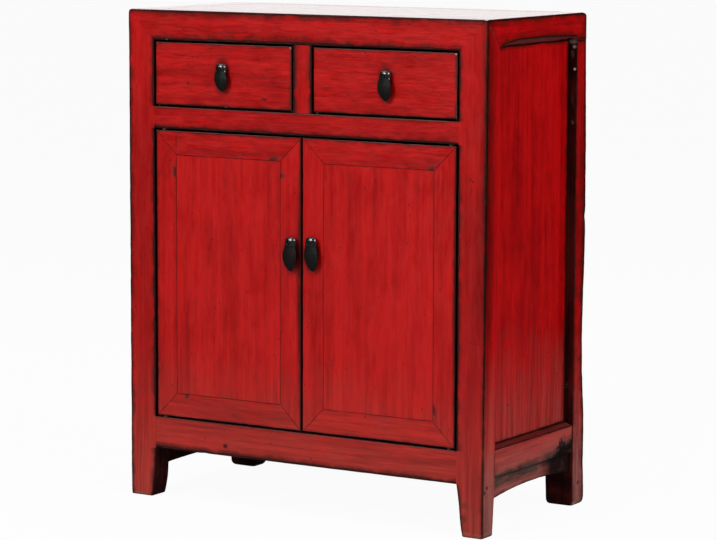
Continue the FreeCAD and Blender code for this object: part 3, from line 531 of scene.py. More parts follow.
def black_stain():
    """Black, matt stain on the hidden faces, worn brown in places."""
    t = material_tree("black_stain")
    grain, place = t.attribute("bco"), t.position()
    streak = t.noise(grain, (6.0, 110.0, 110.0), 5.0, 0.62, 0.4)
    patch = t.noise(place, 24.0, 4.0, 0.6, 0.5)
    tone = t.plus(t.times(streak, 0.5), t.times(patch, 0.5))
    colour = t.ramp(tone, [(0.36, (0.0060, 0.0010, 0.0010)), (0.52, (0.028, 0.0025, 0.0022)),
                           (0.66, (0.075, 0.0070, 0.0055))])
    far = t.cells(place, 120.0, (2, 6, 3))
    fleck = t.times(t.fall(far, 0.10, 0.16), t.span(patch, 0.60, 0.66))
    colour = t.mix(t.times(fleck, 0.8), colour, (0.16, 0.10, 0.075))
    for centre, reach, mark, amount in FLECKS:
        at = t.times(t.spot(place, centre, reach), t.span(streak, 0.40, 0.52, 0.25, 1.0))
        colour = t.mix(t.times(at, amount), colour, mark)
    normal = t.bump(t.plus(streak, patch), 0.4, 0.0007)
    return t.finish(colour, t.span(patch, 0.3, 0.7, 0.50, 0.72), normal, IOR=1.5, Specular_IOR_Level=0.07)


def plain_wood(name, scale):
    """Old unlacquered softwood; the pattern's scale is small along the grain and large across it."""
    t = material_tree(name)
    place = t.position()
    streak = t.noise(place, scale, 5.0, 0.6, 0.5)
    fibre = t.noise(place, tuple(6 * s for s in scale), 3.0, 0.6)
    blotch = t.noise(place, 11.0, 3.0, 0.5)
    tone = t.plus(t.times(streak, 0.65), t.times(blotch, 0.35))
    colour = t.ramp(tone, [(0.36, (0.075, 0.034, 0.017)), (0.5, (0.16, 0.078, 0.036)), (0.66, (0.27, 0.145, 0.07))])
    colour = t.dimmed(colour, t.span(fibre, 0.3, 0.65, 0.72, 1.05))
    normal = t.bump(t.plus(streak, t.times(fibre, 0.6)), 0.4, 0.0007)
    return t.finish(colour, t.span(blotch, 0.3, 0.7, 0.55, 0.75), normal)


def iron(name, tints, rough, ior, coat):
    """Blackened, waxed metal with faint tints; rough is the range of its roughness."""
    t = material_tree(name)
    place = t.position()
    patch = t.noise(place, 90.0, 3.0, 0.6)
    fine = t.noise(place, 420.0, 3.0, 0.6)
    tint = t.noise(place, 140.0, 2.0, 0.5, 0.0, (3, 8, 1))
    colour = t.ramp(tint, [(0.36, tints[0]), (0.5, tints[1]), (0.64, tints[2])])
    normal = t.bump(fine, 0.12, 0.0003, t.bump(patch, 0.22, 0.0008))
    return t.finish(colour, t.span(patch, 0.3, 0.7, *rough), normal, IOR=ior, Coat_Weight=coat, Coat_Roughness=0.14)


# Marks on the lacquer: (centre, reach along each axis, colour, amount), in millimetres.
# The wood behind each pull is darkened in every pose: round its knuckle by grime and painted contact shade,
# and under its leaf by a painted shadow.
KNUCKLE_GRIME_AND_SHADE, SHADOW = (0.024, 0.002, 0.002), (0.008, 0.001, 0.001)
MARKS = [
    ((-169.5, -182, 797), (20, 14, 24), KNUCKLE_GRIME_AND_SHADE, 0.92),
    ((173.0, -182, 797), (20, 14, 24), KNUCKLE_GRIME_AND_SHADE, 0.92),
    ((-18.5, -182, 481), (19, 14, 24), KNUCKLE_GRIME_AND_SHADE, 0.92),
    ((25, -182, 483), (19, 14, 24), KNUCKLE_GRIME_AND_SHADE, 0.92),
    ((-271, -182, 664), (1.7, 8, 24), (0.050, 0.003, 0.003), 0.85),
    ((312.8, -182, 840), (2.4, 8, 2.4), (0.50, 0.42, 0.37), 0.9),
    ((-290, -182, 845.5), (2.4, 6, 2.0), (0.42, 0.34, 0.28), 0.9),
    ((-24, -182, 839.5), (2.6, 8, 3.0), (0.32, 0.25, 0.21), 0.8),
    ((-170, -182, 775), (21, 14, 33), SHADOW, 0.97),
    ((173, -182, 775), (21, 14, 33), SHADOW, 0.97),
    ((-22, -182, 467), (22, 14, 38), SHADOW, 0.97),
    ((21, -182, 469), (22, 14, 38), SHADOW, 0.97),
    ((-5, -182, 418), (8.5, 6, 275), (0.050, 0.003, 0.001), 0.80),
    ((314, -182, 418), (6.5, 6, 275), (0.050, 0.003, 0.001), 0.70),
    ((-164.5, -182.7, 111), (7, 12, 5.5), (0.020, 0.002, 0.002), 0.95),
    ((-244, -182.7, 769), (4, 12, 4), (0.045, 0.003, 0.003), 0.8),
    ((-80, -182.7, 746), (9, 12, 4), (0.055, 0.003, 0.003), 0.7),
    ((375, -167, 89), (10, 6, 5), (0.018, 0.009, 0.008), 0.9),
    ((375, -176, 81), (10, 7, 5), (0.018, 0.009, 0.008), 0.9),
    ((336, -182.7, 57), (10, 9, 8), (0.075, 0.030, 0.018), 0.65),
    ((333, -182.7, 33), (10, 9, 11), (0.050, 0.008, 0.006), 0.6),
    ((340, -184, 7), (11, 12, 5), (0.26, 0.12, 0.09), 0.7),
    ((362, -184, 6), (12, 12, 4), (0.20, 0.09, 0.07), 0.6),
    ((375, -163, 7), (12, 17, 5), (0.20, 0.13, 0.10), 0.7),
    ((375, 176, 10), (12, 12, 7), (0.17, 0.12, 0.09), 0.7),
    ((375, 156, 5), (12, 10, 5), (0.30, 0.22, 0.15), 0.85),
    ((375, 170, 42), (12, 7, 5), (0.10, 0.006, 0.005), 0.85),
    ((-352, -184, 4), (24, 12, 4), (0.20, 0.075, 0.055), 0.6),
]
# Places that are darker as a whole: (centre, reach along each axis, tint)
SHADES = [
    ((-349, -182, 440), (38, 30, 440), (0.78, 0.66, 0.66)),
    ((349, -182, 390), (38, 30, 400), (0.76, 0.64, 0.64)),
    ((375, -182.7, 640), (15, 44, 600), (0.42, 0.75, 0.45)),
    ((375, 175, 560), (14, 34, 240), (0.60, 0.90, 0.80)),
]
# Marks on the black stain of the rear post's reveal, given like those on the lacquer
FLECKS = [
    ((366, 146.8, 430), (16, 9, 290), (0.070, 0.006, 0.005), 0.85),
    ((364, 146.8, 848), (12, 9, 5), (0.26, 0.18, 0.15), 0.9),
    ((369, 146.8, 839), (5, 9, 4), (0.30, 0.24, 0.21), 0.9),
    ((365, 146.8, 826), (5, 9, 9), (0.10, 0.05, 0.045), 0.7),
    ((370, 146.8, 799), (3.2, 9, 3.2), (0.60, 0.54, 0.50), 1.0),
    ((367, 146.8, 703), (4, 9, 5), (0.12, 0.06, 0.05), 0.7),
    ((366, 146.8, 744), (3, 9, 12), (0.07, 0.02, 0.02), 0.7),
]

materials = {
    "black": black_stain(),
    "lacquer": lacquer("red_lacquer", (0.25, 0.0010, 0.0013), (0.39, 0.0018, 0.0018), (0.51, 0.0050, 0.0040),
                       figure=0.7),
    "rail": lacquer("red_lacquer_rail", (0.23, 0.0012, 0.0015), (0.38, 0.0022, 0.0022), (0.50, 0.0056, 0.0044),
                    figure=2.0),
    "side": lacquer("red_lacquer_side", (0.17, 0.0006, 0.0012), (0.31, 0.0009, 0.0018), (0.46, 0.0018, 0.0028),
                    faded_and_floor_reflection=(0.40, 0.080, 0.066), fade_top=0.34, grimy_and_rear_shadow=True, coat=0.0, figure=0.9, specular=0.06),
    "top": lacquer("red_lacquer_top", (0.22, 0.006, 0.007), (0.33, 0.010, 0.010), (0.42, 0.018, 0.016),
                   coat=1.0, rough=0.20, relief=0.15, figure=0.5),
    "iron": iron("black_iron", ((0.004, 0.008, 0.006), (0.004, 0.004, 0.004), (0.008, 0.004, 0.007)),
                 (0.22, 0.36), 2.0, 1.0),
    "leaf": iron("black_iron_leaf", ((0.003, 0.010, 0.006), (0.005, 0.004, 0.004), (0.013, 0.003, 0.005)),
                 (0.42, 0.58), 1.28, 0.0),
    "wood_x": plain_wood("bare_wood_x", (4.0, 60.0, 60.0)),
    "wood_y": plain_wood("bare_wood_y", (60.0, 4.0, 60.0)),
    "wood_z": plain_wood("bare_wood_z", (60.0, 60.0, 4.0)),
}


def stained(*directions):
    """Shades that stain the faces towards these directions black."""
    return [(direction, 0.6, SOOT) for direction in directions]


def flip(points, side):
    """Mirror a ring to one side, keeping its turn."""
    return [(side * x, y, z) for x, y, z in points]


def front_post(name, side):
    """A front post: mitred head, foot tapering on its inner side, soft worn toe."""
    toe, waist, deep, lean = (47.5, 55.0, 43.0, 0.0) if side < 0 else (44.0, 50.5, 38.5, 3.0)

    def ring(z, inner, depth, radii, darks, tops=None, outer=None):
        zs = tops or (z, z, z, z)
        out = HALF - lean * max(0.0, 1 - z / 700.0) if outer is None else outer
        corners = [(out, FRONT, zs[0]), (inner, FRONT, zs[1]), (inner, depth, zs[2]), (out, depth, zs[3])]
        return flip(corners, side), radii, darks

    # Radii beside an opening and beside a rail's joint
    opening, joint = (2.4, 2.0, 1.0, 1.8), (2.4, 0.3, 0.5, 1.8)
    flank = (0.2, 0.25) if side > 0 else (0.2, 0.6)

    def worn(z, inner=(1.5, 0.8)):
        """How dark each arris is at a height."""
        corner = (1.2 + 0.8 * min(1.0, max(0.0, (z - 200) / 650)), 1.0) if side > 0 else (1.6, 1.7)
        return corner, inner, (0.3, 0.3), flank

    faint = (0.08, 0.1)
    mitre = (0.0, 0.0, 0.0, 0.0) if side > 0 else (0.0, 0.22, 0.0, 0.0)
    rings = [
        ring(0, HALF - toe, FRONT + deep, (4.2, 3.6, 3.6, 4.2), worn(0)),
        ring(14, HALF - toe - 0.28 * (waist - toe) * 1.25, FRONT + deep + 0.4, (3.0, 2.4, 2.4, 2.8), worn(14)),
        ring(32, HALF - toe - 0.60 * (waist - toe) * 1.12, FRONT + deep + 1.2, opening, worn(32)),
        ring(54, HALF - waist, 0.5 * (FRONT + deep + BEHIND), opening, worn(54)),
        ring(76, 0.45 * (HALF - waist) + 0.55 * INNER, BEHIND, opening, worn(76)),
    ]
    for z in (91.5, 92.5, 151, 152, 200, 684, 685, 724, 725, 800):
        if LEG < z < DOOR_SILL or DOOR_HEAD < z < DRAWER_FLOOR:
            rings.append(ring(z, INNER, BEHIND, joint, worn(z, faint)))
        else:
            rings.append(ring(z, INNER, BEHIND, opening, worn(z)))
    rings += [
        ring(840, INNER, BEHIND, opening, worn(840), (TOP - 6, UNDER_TOP - 3, UNDER_TOP - 3, UNDER_SIDE - 3)),
        ring(845, INNER, BEHIND, opening, worn(845), (TOP - 1.5, UNDER_TOP, UNDER_TOP, UNDER_SIDE), HALF - 1.5),
    ]
    board(f"post_front_{name}", "case", rings, ends=((2.6, 0.9), (0.05, mitre)), tone=0.56, reach=(0, 0.7),
          flank=side, shades=stained((-side, 0, 0), REARWARD, DOWN), wave=0.6)


def rear_post(name, side):
    """A rear post, leaning and wavy along its back, with a black reveal towards the front."""
    backs = [(0, 195.0), (8, 196.0), (21, 195.9), (50, 192.5), (80, 191.3), (134, 192.3), (165, 191.6), (192, 188.9),
             (245, 184.0), (303, 181.5), (360, 183.4), (417, 185.2), (445, 187.6), (480, 188.2), (551, 188.0),
             (600, 187.8), (640, 188.2), (690, 187.2), (724, 186.4), (790, 184.6), (UNDER_SIDE, 183.3)]
    rings = []
    for z, y in backs:
        foot = max(0.0, 1 - z / 40.0)
        corners = [(HALF, REAR, z), (INNER, REAR, z), (INNER, y, z), (HALF, y, z)]
        radii = (2.0 + 3.0 * foot, 1.5 + 4.5 * foot, 2.0 + 4.0 * foot, 3.0 + 6.0 * foot)
        rings.append((flip(corners, side), radii, ((1.1, 0.3), (0.3, 0.3), (0.3, 0.4), (0.4, 3.2))))
    board(f"post_rear_{name}", "case", rings, ends=((7.0, 0.9), (0.05, 1.8)), tone=0.38, material="side",
          reach=(0, 0.8), wave=0.9,
          shades=stained((0, -1, 0), (-side, 0, 0), DOWN) + [(REARWARD, 0.75, 0.55)])


def top_frame():
    """The mitred frame of the top, and the panel between its rails."""
    def front_ring(out, top, low, low_out):
        return [(out, FRONT, top), (low_out, FRONT, low), (low_out, BEHIND, low), (low_out, BEHIND, TOP)]
    rings = [(front_ring(-HALF + 1.5, TOP - 1.5, UNDER_TOP, -INNER),),
             (front_ring(-HALF + 7, TOP, UNDER_TOP, -INNER + 5),),
             (front_ring(HALF - 7, TOP, UNDER_TOP, INNER - 5),),
             (front_ring(HALF - 1.5, TOP - 1.5, UNDER_TOP, INNER),)]
    board("top_rail_front", "case", rings, radius=(2.6, 2.2, 0.5, 0.3), dark=((0.2, 2.0), (2.3, 1.5), 0.2, 0.15),
          ends=((0.05, (0.0, 0.22, 0.0, 0.0)), (0.05, (0.0, 0.0, 0.0, 0.0))), grain="x", tone=0.48,
          shades=stained(DOWN), wave=0.5, glossy_top=True, reach=(0.7, 0.7), material="rail")
    for name, side in (("left", -1), ("right", 1)):
        def ring(y, low_out, rise, deep, out=HALF, top=TOP, inner_y=BEHIND + 0.5):
            """A station of the rail: the chamfer rises from its underside and reaches in from its face."""
            corners = [(out, y, top), (out, low_out, UNDER_SIDE + rise), (out - deep, low_out, UNDER_SIDE),
                       (INNER, max(low_out, inner_y), UNDER_SIDE), (INNER, max(y, inner_y), TOP)]
            radii = (2.6, min(1.6, 0.3 + rise), min(1.4, 0.3 + rise), 0.5, 0.3)
            edge = 0.2 if rise < 0.4 and y < 0 else 1.6
            return flip(corners, side), radii, ((0.2, 2.0), (edge, 1.2), (0.7, 0.8), 0.2, 0.15)
        rings = [
            ring(FRONT + 1.5, BEHIND - 0.3, 0.3, 0.2, HALF - 1.5, TOP - 1.5, BEHIND),
            ring(FRONT + 7, BEHIND, 0.3, 0.2),
            *(ring(y, y, rise, deep) for y, rise, deep in (
                (-128.0, 0.5, 0.5), (-116.0, 3.0, 6.0), (-98.0, 6.0, 12.0), (-82.0, 8.0, 16.0), (-50.0, 9.0, 17.0),
                (30.0, 8.8, 17.0), (93.0, 7.4, 17.0), (138.0, 6.0, 16.0), (145.0, 4.5, 12.0), (148.5, 0.4, 0.4))),
            ring(BACK - 18, BACK - 18, 0.4, 0.4),
            ring(BACK - 9, BACK - 9, 0.4, 0.4, HALF, TOP - 0.9),
            ring(BACK - 3.5, BACK - 3.5, 0.4, 0.4, HALF, TOP - 2.6),
            ring(BACK, BACK, 0.4, 0.4, HALF, TOP - 5.0),
        ]
        board(f"top_rail_{name}", "case", rings, ends=((0.05, 0.0), (2.5, 2.2)), grain="y", reach=(0.7, 0),
              tone=0.56, material="side", wave=0.5, glossy_top=True,
              shades=[(DOWN, 0.42, -0.20), (DOWN, 0.93, SOOT), (REARWARD, 0.8, 0.5)])
    panel = [(-INNER, TOP), (INNER, TOP), (INNER, TOP - 14), (-INNER, TOP - 14)]
    board("top_panel", "case", [([(x, y, z) for x, z in panel],) for y in (BEHIND + 0.1, REAR - 0.1)],
          radius=0.5, dark=0.2, ends=((0.4, 0.2), (0.4, 0.2)), grain="x", tone=0.5, material="top", wave=0.6)
    beam("top_rail_rear", (-INNER, INNER), (REAR, BACK), (UNDER_SIDE, TOP), "x", tone=0.42,
         radius=(1.2, 0.5, 0.5, 1.6), dark=(0.3, 0.3, 0.3, 0.9), shades=[(REARWARD, 0.7, 0.5)], slot="bare_wood",
         glossy_top=True)


def beam(name, xs, ys, zs, along, body="case", **options):
    """A straight board between two places on each axis, its grain along x or z."""
    (x0, x1), (y0, y1), (z0, z1) = xs, ys, zs
    if along == "x":
        rings = [([(x, y0, z1), (x, y0, z0), (x, y1, z0), (x, y1, z1)],) for x in (x0, x1)]
    else:
        rings = [([(x0, y0, z), (x1, y0, z), (x1, y1, z), (x0, y1, z)],) for z in (z0, z1)]
    board(name, body, rings, grain=along, **options)


def front_rails():
    """The rails and the divider between the drawers and the doors."""
    dark_inside = [(UP, 0.6, -0.78)] + stained(DOWN, REARWARD)
    faint = ((0.05, 0.05), (0.05, 0.05))
    # The rails' front top arrises carry a pale painted highlight (their darks are below 0)
    beam("drawer_rail", (-INNER, INNER), (FRONT, BEHIND), (DOOR_HEAD, DRAWER_FLOOR), "x", tone=0.50,
         radius=(1.8, 1.8, 0.6, 0.6), dark=((-0.9, -0.9), (2.0, 1.2), 0.3, 0.3), ends=faint, shades=dark_inside,
         wave=0.5, material="rail", reach=(0.5, 0.5))
    beam("bottom_rail", (-INNER, INNER), (FRONT, BEHIND), (LEG, DOOR_SILL), "x", tone=0.52,
         radius=(1.8, 3.2, 1.0, 0.6), dark=((-0.6, -0.6), (2.2, 1.5), 0.3, 0.3), ends=faint, shades=dark_inside,
         wave=0.7, material="rail", reach=(0.5, 0.5))
    beam("drawer_divider", (-18.5, 20.5), (FRONT, BEHIND), (DRAWER_FLOOR, UNDER_TOP), "z", tone=0.48,
         radius=(1.6, 1.6, 0.6, 0.6), dark=((1.0, 2.0), (1.4, 1.0), 0.3, 0.3), ends=((0.2, 0.2), (0.2, 0.2)),
         wave=0.5, shades=stained((1, 0, 0), (-1, 0, 0)))


def sides(name, side):
    """A side panel, the rail under it with its sloping ledge, and the arched apron."""
    panel = [(PANEL, BEHIND), (PANEL, REAR), (PANEL - 12, REAR), (PANEL - 12, BEHIND)]
    rings = [(flip([(x, y, z) for x, y in panel], side),) for z in (LEDGE, UNDER_SIDE)]
    board(f"side_panel_{name}", "case", rings, radius=0.5, dark=((0.2, 0.2), (1.8, 0.3), 0.2, 0.2),
          ends=((0.5, 0.8), (0.5, 1.4)), tone=0.50, material="side", shades=[((-side, 0, 0), 0.6, 0.9)], wave=1.0)
    rings = []
    for y, out in ((BEHIND, HALF - (2.6 if side > 0 else 0)), (REAR, HALF)):
        rail = [(out, SIDE_LEG), (out, DOOR_SILL), (PANEL, LEDGE), (HALF - 36, LEDGE), (HALF - 36, SIDE_LEG)]
        rings.append((flip([(x, y, z) for x, z in rail], side),))
    board(f"side_bottom_rail_{name}", "case", rings, radius=(2.6, 2.0, 0.4, 0.5, 0.6),
          dark=(1.0, (0.4, 0.9), 0.9, 0.2, 0.2), ends=((0.3, 0.2), (0.3, 0.8)), grain="y", tone=0.56,
          material="side", shades=[(UP, 0.5, -0.62), (DOWN, 0.6, SOOT), ((-side, 0, 0), 0.6, 0.9)],
          wave=1.3)
    foot, arch = (43.5, 4.5) if side < 0 else (64.0, 9.0)
    rings = []
    out, into = HALF - 6, HALF - 18
    for k in range(13):
        y = BEHIND + (REAR - BEHIND) * k / 12
        z = foot + arch * (1 - (2 * k / 12 - 1) ** 2)
        rings.append((flip([(out, y, SIDE_LEG), (into, y, SIDE_LEG), (into, y, z), (out, y, z)], side),))
    board(f"side_apron_{name}", "case", rings, radius=(0.5, 0.5, 1.0, 2.0), dark=(1.2, 0.3, 0.3, 0.9),
          ends=((0.3, 0.3), (0.3, 1.6)), grain="y", tone=0.34, material="side",
          shades=stained((-side, 0, 0), DOWN), wave=0.9)


def door(name, side):
    """A door's four mitred frame pieces and its flush panel."""
    body = f"door_{name}"
    outer, meet, low, high, wide = 315.0, 1.5, 154.5, 681.5, 44.0
    behind = [(REARWARD, 0.6, 0.85)]
    seam = (0.34, 0.34, 0.2, 0.3)

    def mitred_end(x, z):
        """The section at a corner of the door, across to the same corner of its panel."""
        x_in, z_in = x + (wide if x == meet else -wide), z + (wide if z == low else -wide)
        front, back = FACE, FACE + 20
        return (flip([(x, front, z), (x_in, front, z_in), (x_in, back, z_in), (x, back, z)], side),)

    def piece(part, start, end, grain, tone, edge, rim=(0.6, 0.9)):
        """A frame piece between two corners of the door; edge is the direction of its outer face."""
        inside = tuple(-e for e in edge)
        inner_corner = tuple(0.707 * (b + i) for b, i in zip(REARWARD, inside))
        board(f"{body}_{part}", body, [mitred_end(*start), mitred_end(*end)], radius=(1.8, 0.35, 0.4, 1.0),
              dark=(rim, 0.36, 0.2, 0.8), ends=((0.3, seam), (0.3, seam)), grain=grain, tone=tone, wave=0.45,
              material="rail" if grain == "x" else "lacquer",
              shades=behind + [(edge, 0.6, SOOT), (inside, 0.6, 0.85), (inner_corner, 0.6, 0.85)])

    shut = (1.0, 1.2)
    piece("hinge_stile", (outer, low), (outer, high), "z", 0.46, (side, 0, 0), shut)
    piece("meeting_stile", (meet, low), (meet, high), "z", 0.48, (-side, 0, 0), shut if side < 0 else (0.6, 0.6))
    # The top rail's front top arris carries a pale painted highlight (its darks are below 0)
    piece("top_rail", (meet, high), (outer, high), "x", 0.47, UP, (-1.1, -1.1))
    piece("bottom_rail", (meet, low), (outer, low), "x", 0.52, DOWN)
    x0, x1 = meet + wide, outer - wide
    panel = [(x0, FACE), (x1, FACE), (x1, FACE + 12), (x0, FACE + 12)]
    rings = [(flip([(x, y, z) for x, y in panel], side),) for z in (low + wide, high - wide)]
    board(f"{body}_panel", body, rings, radius=0.35, dark=0.36, ends=((0.3, 0.36), (0.3, 0.36)), tone=0.56,
          shades=behind, wave=0.6)


def pivots(name, side):
    """The turned pivots at both ends of a door's hinge stile."""
    for end, (z0, z1) in {"top": (661.5, 692.5), "foot": (143.5, 174.5)}.items():
        rows = [[(side * 301 + r * c, FRONT + 10 + r * s, z) for c, s in circle(32)]
                for z, r in ((z0, 4.4), (z0 + 0.8, 5.0), (z1 - 0.8, 5.0), (z1, 4.4))]
        obj = solid(f"door_{name}_pivot_{end}", rows)
        obj.data.materials.append(materials["wood_z"])
        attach(obj, f"door_{name}")
        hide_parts(f"door_{name}_hinge_stile")


def drawer(name, side):
    """A drawer's thick front."""
    xs = (24.0, 315.5) if side > 0 else (-315.5, -22.0)
    edges = stained(UP, DOWN, (1, 0, 0), (-1, 0, 0)) + [(REARWARD, 0.6, 0.9)]
    # The front's top arris and its right end carry a pale painted highlight (their darks are below 0)
    beam(f"drawer_{name}_front", xs, (FACE, FACE + 20), (727.5, 842.0), "x", body=f"drawer_{name}", tone=0.53,
         radius=(1.8, 1.8, 0.8, 0.8), dark=((-1.0, -1.0), 1.1, 0.5, 0.5), ends=((1.6, 0.9), (1.6, -1.0)),
         shades=edges, wave=0.6, material="rail")


# Where the pulls' rings stand in front of the doors and drawers
RING_DEPTH = -189.2
# (reach in front, reach behind, crease) down every pull, from its knuckle to its tip
PULL_DEPTHS = [(0.5, 0.5, 0), (2.0, 2.4, 0), (4.0, 4.6, 0), (5.4, 6.0, 0), (6.3, 6.8, 0), (6.5, 6.8, 0),
               (5.6, 6.2, 0.1), (4.0, 4.2, 0.2), (2.9, 2.6, 0.3), (2.3, 1.8, 0.45), (2.1, 1.6, 0.5),
               (2.1, 1.6, 0.5), (2.1, 1.6, 0.5), (2.1, 1.5, 0.5), (1.9, 1.4, 0.4), (1.5, 1.1, 0.2), (0.9, 0.7, 0)]
# (height from the ring, half width, lead: how far it stands forward) at the same places of each kind
PULL_SHAPES = {
    "drawer": [(6.9, 0.6, 0), (6.6, 3.6, 0), (5.6, 6.8, 0), (4.0, 9.0, 0), (1.5, 10.4, 0), (-1.5, 10.8, 0),
               (-5.0, 10.7, 0.6), (-8.5, 10.6, 1.8), (-12, 11.6, 3.0), (-16, 12.8, 4.0), (-20.5, 13.2, 4.6),
               (-26, 12.8, 4.6), (-31, 11.2, 4.0), (-35.5, 8.6, 3.0), (-39, 5.6, 2.0), (-41.2, 2.8, 1.4),
               (-41.9, 0.6, 1.2)],
    "door": [(6.9, 0.6, 0), (6.6, 3.8, 0), (5.6, 7.1, 0), (4.0, 9.4, 0), (1.5, 10.8, 0), (-1.5, 11.2, 0),
             (-6.0, 11.1, 0.6), (-10.5, 11.1, 1.8), (-15, 12.3, 3.2), (-20, 13.7, 4.2), (-25, 14.2, 4.7),
             (-31, 13.8, 4.7), (-37.5, 12.0, 4.2), (-43, 9.2, 3.4), (-47.3, 6.0, 2.6), (-50.2, 2.9, 2.0),
             (-50.9, 0.6, 1.9)],
}
# (x and z of the ring, lean to the right, lengthening of the leaf) of each pull
PULLS = {("door", "left"): (-19.0, 497.5, 0.5, 1.08), ("door", "right"): (24.0, 500.0, 3.2, 1.08),
         ("drawer", "left"): (-167.25, 800.75, 3.2, 1.06), ("drawer", "right"): (175.25, 800.75, 1.6, 1.16)}


def solid(name, rows):
    """A closed mesh through rings of points in millimetres."""
    bm = bmesh.new()
    skin(bm, [[bm.verts.new(Vector(p) * MM) for p in row] for row in rows])
    mesh = bpy.data.meshes.new(name)
    bm.to_mesh(mesh)
    bm.free()
    return placed(name, mesh)


def eased(values, t):
    """A smooth curve through the middle two of four rows of numbers."""
    return [0.5 * (2 * b + (c - a) * t + (2 * a - 5 * b + 4 * c - d) * t * t + (3 * b - a - 3 * c + d) * t ** 3)
            for a, b, c, d in zip(*values)]


def pull(kind, name, middle, height, skew, stretch):
    """A forged pendant: a rounded, slotted knuckle over a creased leaf, leaning a little to one side."""
    label = f"{kind}_{name}"
    shape = [(z, half, *depths, lead) for (z, half, lead), depths in zip(PULL_SHAPES[kind], PULL_DEPTHS)]
    rows = []
    for k in range(len(shape) - 1):
        four = [shape[max(k - 1, 0)], shape[k], shape[k + 1], shape[min(k + 2, len(shape) - 1)]]
        for step in range(4 if k < len(shape) - 2 else 5):
            z, half, front, behind, crease, lead = eased(four, step / 4)
            z = min(z, -10 + stretch * (z + 10)) if z < -10 else z
            low = min(1.0, max(0.0, -z / 20.0))
            row = []
            for x, lift in circle(56):
                rounded = abs(lift)
                if lift > 0:
                    depth = -front * ((1 - crease) * rounded + crease * (1 - abs(x)) ** 0.9)
                else:
                    depth = behind * rounded ** 0.6
                where = Vector((middle + x * half, depth, z)) * 0.11
                dent = 0.22 * noise.noise(where) + 0.10 * noise.noise(where * 3.3)
                row.append((middle + x * (half + dent) + skew * low * -z / 34.0,
                            RING_DEPTH - lead + depth * (1 + 0.03 * dent), height + z))
            rows.append(row)
    body = solid(f"{label}_leaf", rows)
    slot = solid(f"{label}_slot", [[(middle + x, RING_DEPTH + 8.0 * c, height + 8.0 * s) for c, s in circle(48)]
                                   for x in (-2.0, 2.0)])
    turns = [math.pi * (0.02 + 0.96 * k / 12) for k in range(13)]
    eye = solid(f"{label}_eye", [[(middle + 3.9 * c * math.sin(b), RING_DEPTH - 7.0 + 5.0 * math.cos(b),
                                   height - 2.6 + 4.6 * s * math.sin(b)) for c, s in circle(32)] for b in turns])
    for number, tool in enumerate((slot, eye)):
        cutter = body.modifiers.new(f"cut {number}", "BOOLEAN")
        cutter.operation = "DIFFERENCE"
        cutter.solver = "EXACT"
        cutter.object = tool
    bpy.context.view_layer.update()
    shaped = bpy.data.meshes.new_from_object(body.evaluated_get(bpy.context.evaluated_depsgraph_get()))
    body.modifiers.clear()
    body.data = shaped
    for tool in (slot, eye):
        bpy.data.objects.remove(tool)
    for f in shaped.polygons:
        f.use_smooth = True
    shaped.set_sharp_from_angle(angle=math.radians(38))
    axle = solid(f"{label}_axle", [[(middle + x, RING_DEPTH + r * c, height - 1.1 + r * s) for c, s in circle(24)]
                                   for x, r in ((-4.5, 2.2), (-4.0, 2.4), (0, 2.3), (4.0, 2.4), (4.5, 2.2))])
    for f in axle.data.polygons:
        f.use_smooth = len(f.vertices) == 4
    for obj in (body, axle):
        obj.data.materials.clear()
        obj.data.materials.append(materials["iron"])
        obj.data.materials.append(materials["leaf"])
        for f in obj.data.polygons:
            f.material_index = int(f.center.z / MM < height - 8.5)
        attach(obj, f"{label}_pendant")
        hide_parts(f"{label}_pull_pendant")


def carried_over():
    """Give the pieces that keep their own shape their material."""
    for name, obj in nodes.items():
        if name.endswith("pull_pin"):
            key = "iron"
        else:
            low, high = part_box(name)
            size = high - low
            key = "wood_" + "xyz"[max(range(3), key=lambda i: size[i])]
        if not obj.data.materials:
            obj.data.materials.append(materials[key])
        for slot in obj.material_slots:
            slot.link = "OBJECT"
            slot.material = materials[key]
        if not name.endswith("pull_pin"):
            bevel = obj.modifiers.new("eased arrises", "BEVEL")
            bevel.width = 0.0008
            bevel.segments = 2
            bevel.limit_method = "ANGLE"
            bevel.angle_limit = math.radians(40)


carried_over()
for side_name, side_sign in (("left", -1), ("right", 1)):
    front_post(side_name, side_sign)
    rear_post(side_name, side_sign)
    sides(side_name, side_sign)
    door(side_name, side_sign)
    pivots(side_name, side_sign)
    drawer(side_name, side_sign)
    for kind in ("door", "drawer"):
        pull(kind, side_name, *PULLS[kind, side_name])
top_frame()
front_rails()


# Floor, light and camera

def stage_material():
    """A pale floor: partly its own white for the camera, so that it meets the background."""
    t = material_tree("pale_floor")
    path = t.add("LightPath").outputs
    diffuse = t.add("BsdfDiffuse", {"Color": (0.86, 0.86, 0.86)}).outputs[0]
    glow = t.add("Emission", {"Color": WHITE, "Strength": 1.0}).outputs[0]
    seen = t.add("MixShader", {0: t.times(path["Is Camera Ray"], 0.95), 1: diffuse, 2: glow}).outputs[0]
    # Gloss shows the pale floor near the object, and the unlit studio past it
    place = t.add("NewGeometry").outputs["Position"]
    away = t.add("VectorMath", {0: place}, operation="LENGTH").outputs["Value"]
    mirrored = t.add("Emission", {"Color": WHITE, "Strength": t.span(away, 0.9, 3.4, 0.12, 0.02)}).outputs[0]
    surface = t.add("MixShader", {0: path["Is Glossy Ray"], 1: seen, 2: mirrored}).outputs[0]
    t.add("OutputMaterial", {"Surface": surface})
    return t.owner


floor_mesh = bpy.data.meshes.new("floor")
floor_mesh.from_pydata([(-30, -30, 0), (30, -30, 0), (30, 30, 0), (-30, 30, 0)], [], [(0, 1, 2, 3)])
floor = placed("floor", floor_mesh)
floor_mesh.materials.append(stage_material())

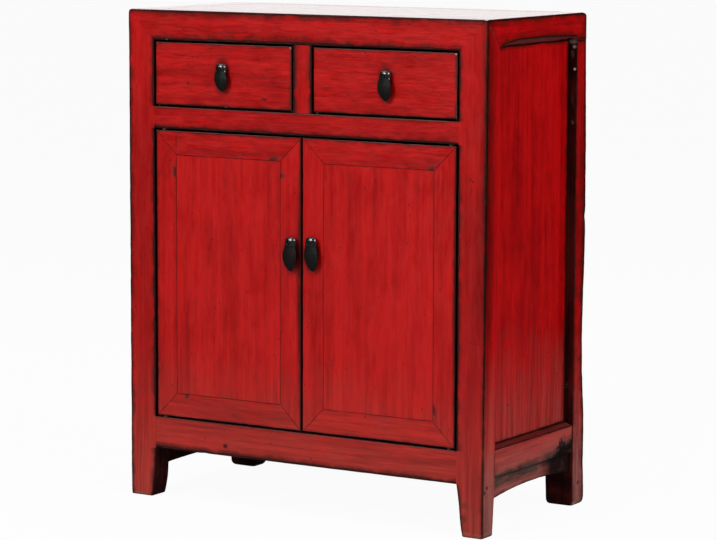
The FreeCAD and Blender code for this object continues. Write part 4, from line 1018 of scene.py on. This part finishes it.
world = bpy.data.worlds.new("studio")
bpy.context.scene.world = world
sky = Tree(world)
rays = sky.add("LightPath").outputs
straight = sky.math("MAXIMUM", rays["Is Camera Ray"], rays["Is Transmission Ray"])
level = sky.span(straight, 0.0, 1.0, 0.21, 1.0)
# Gloss shows the white backdrop behind the object, and a dark studio elsewhere
way = sky.add("TexCoord").outputs["Generated"]
toward = sky.add("VectorMath", {0: way, 1: (-0.516, 0.846, 0.13)}, operation="DOT_PRODUCT").outputs["Value"]
backdrop = sky.span(toward, 0.72, 0.92, 0.02, 1.0, interpolation_type="SMOOTHSTEP")
strength = sky.add("Mix", {"Factor": rays["Is Glossy Ray"], "A": level, "B": backdrop}, data_type="FLOAT").outputs[0]
background = sky.add("Background", {"Color": WHITE, "Strength": strength}).outputs[0]
sky.add("OutputWorld", {"Surface": background})


def lamp(name, place, aim, size, power):
    """An area lamp at a place, aimed at a point, in metres and watts."""
    data = bpy.data.lights.new(name, "AREA")
    data.shape = "RECTANGLE"
    data.size, data.size_y = size
    data.energy = power
    obj = placed(name, data)
    obj.location = place
    obj.rotation_euler = (Vector(aim) - Vector(place)).to_track_quat("-Z", "Y").to_euler()


lamp("key", (-0.9, -4.5, 2.9), (0, 0, 0.45), (1.9, 1.6), 120)
lamp("side", (3.6, -1.0, 2.6), (0, 0, 0.55), (2.0, 2.0), 94)
lamp("overhead", (-0.9, -0.5, 3.4), (0, 0, 0.4), (2.4, 2.4), 23)

# The camera, fitted to the photograph: turn, tilt and lean, place in metres and focal length in millimetres
YAW, PITCH, ROLL = math.radians(31.548), math.radians(-7.407), 0.003
EYE, LENS = Vector((2.8796, -4.6805, 1.1403)), 152.27
forward = Vector((-math.sin(YAW) * math.cos(PITCH), math.cos(YAW) * math.cos(PITCH), math.sin(PITCH)))
level_right = Vector((math.cos(YAW), math.sin(YAW), 0))
level_up = level_right.cross(forward)
right = math.cos(ROLL) * level_right + math.sin(ROLL) * level_up
up = right.cross(forward)
camera_data = bpy.data.cameras.new("camera")
camera_data.lens = LENS
camera_data.sensor_width = 36
camera_data.clip_end = 100
camera = placed("camera", camera_data)
rotation = Matrix((right, up, -forward)).transposed().to_4x4()
camera.matrix_world = Matrix.Translation(EYE) @ rotation
bpy.context.scene.camera = camera
bpy.context.scene.view_settings.view_transform = "Standard"
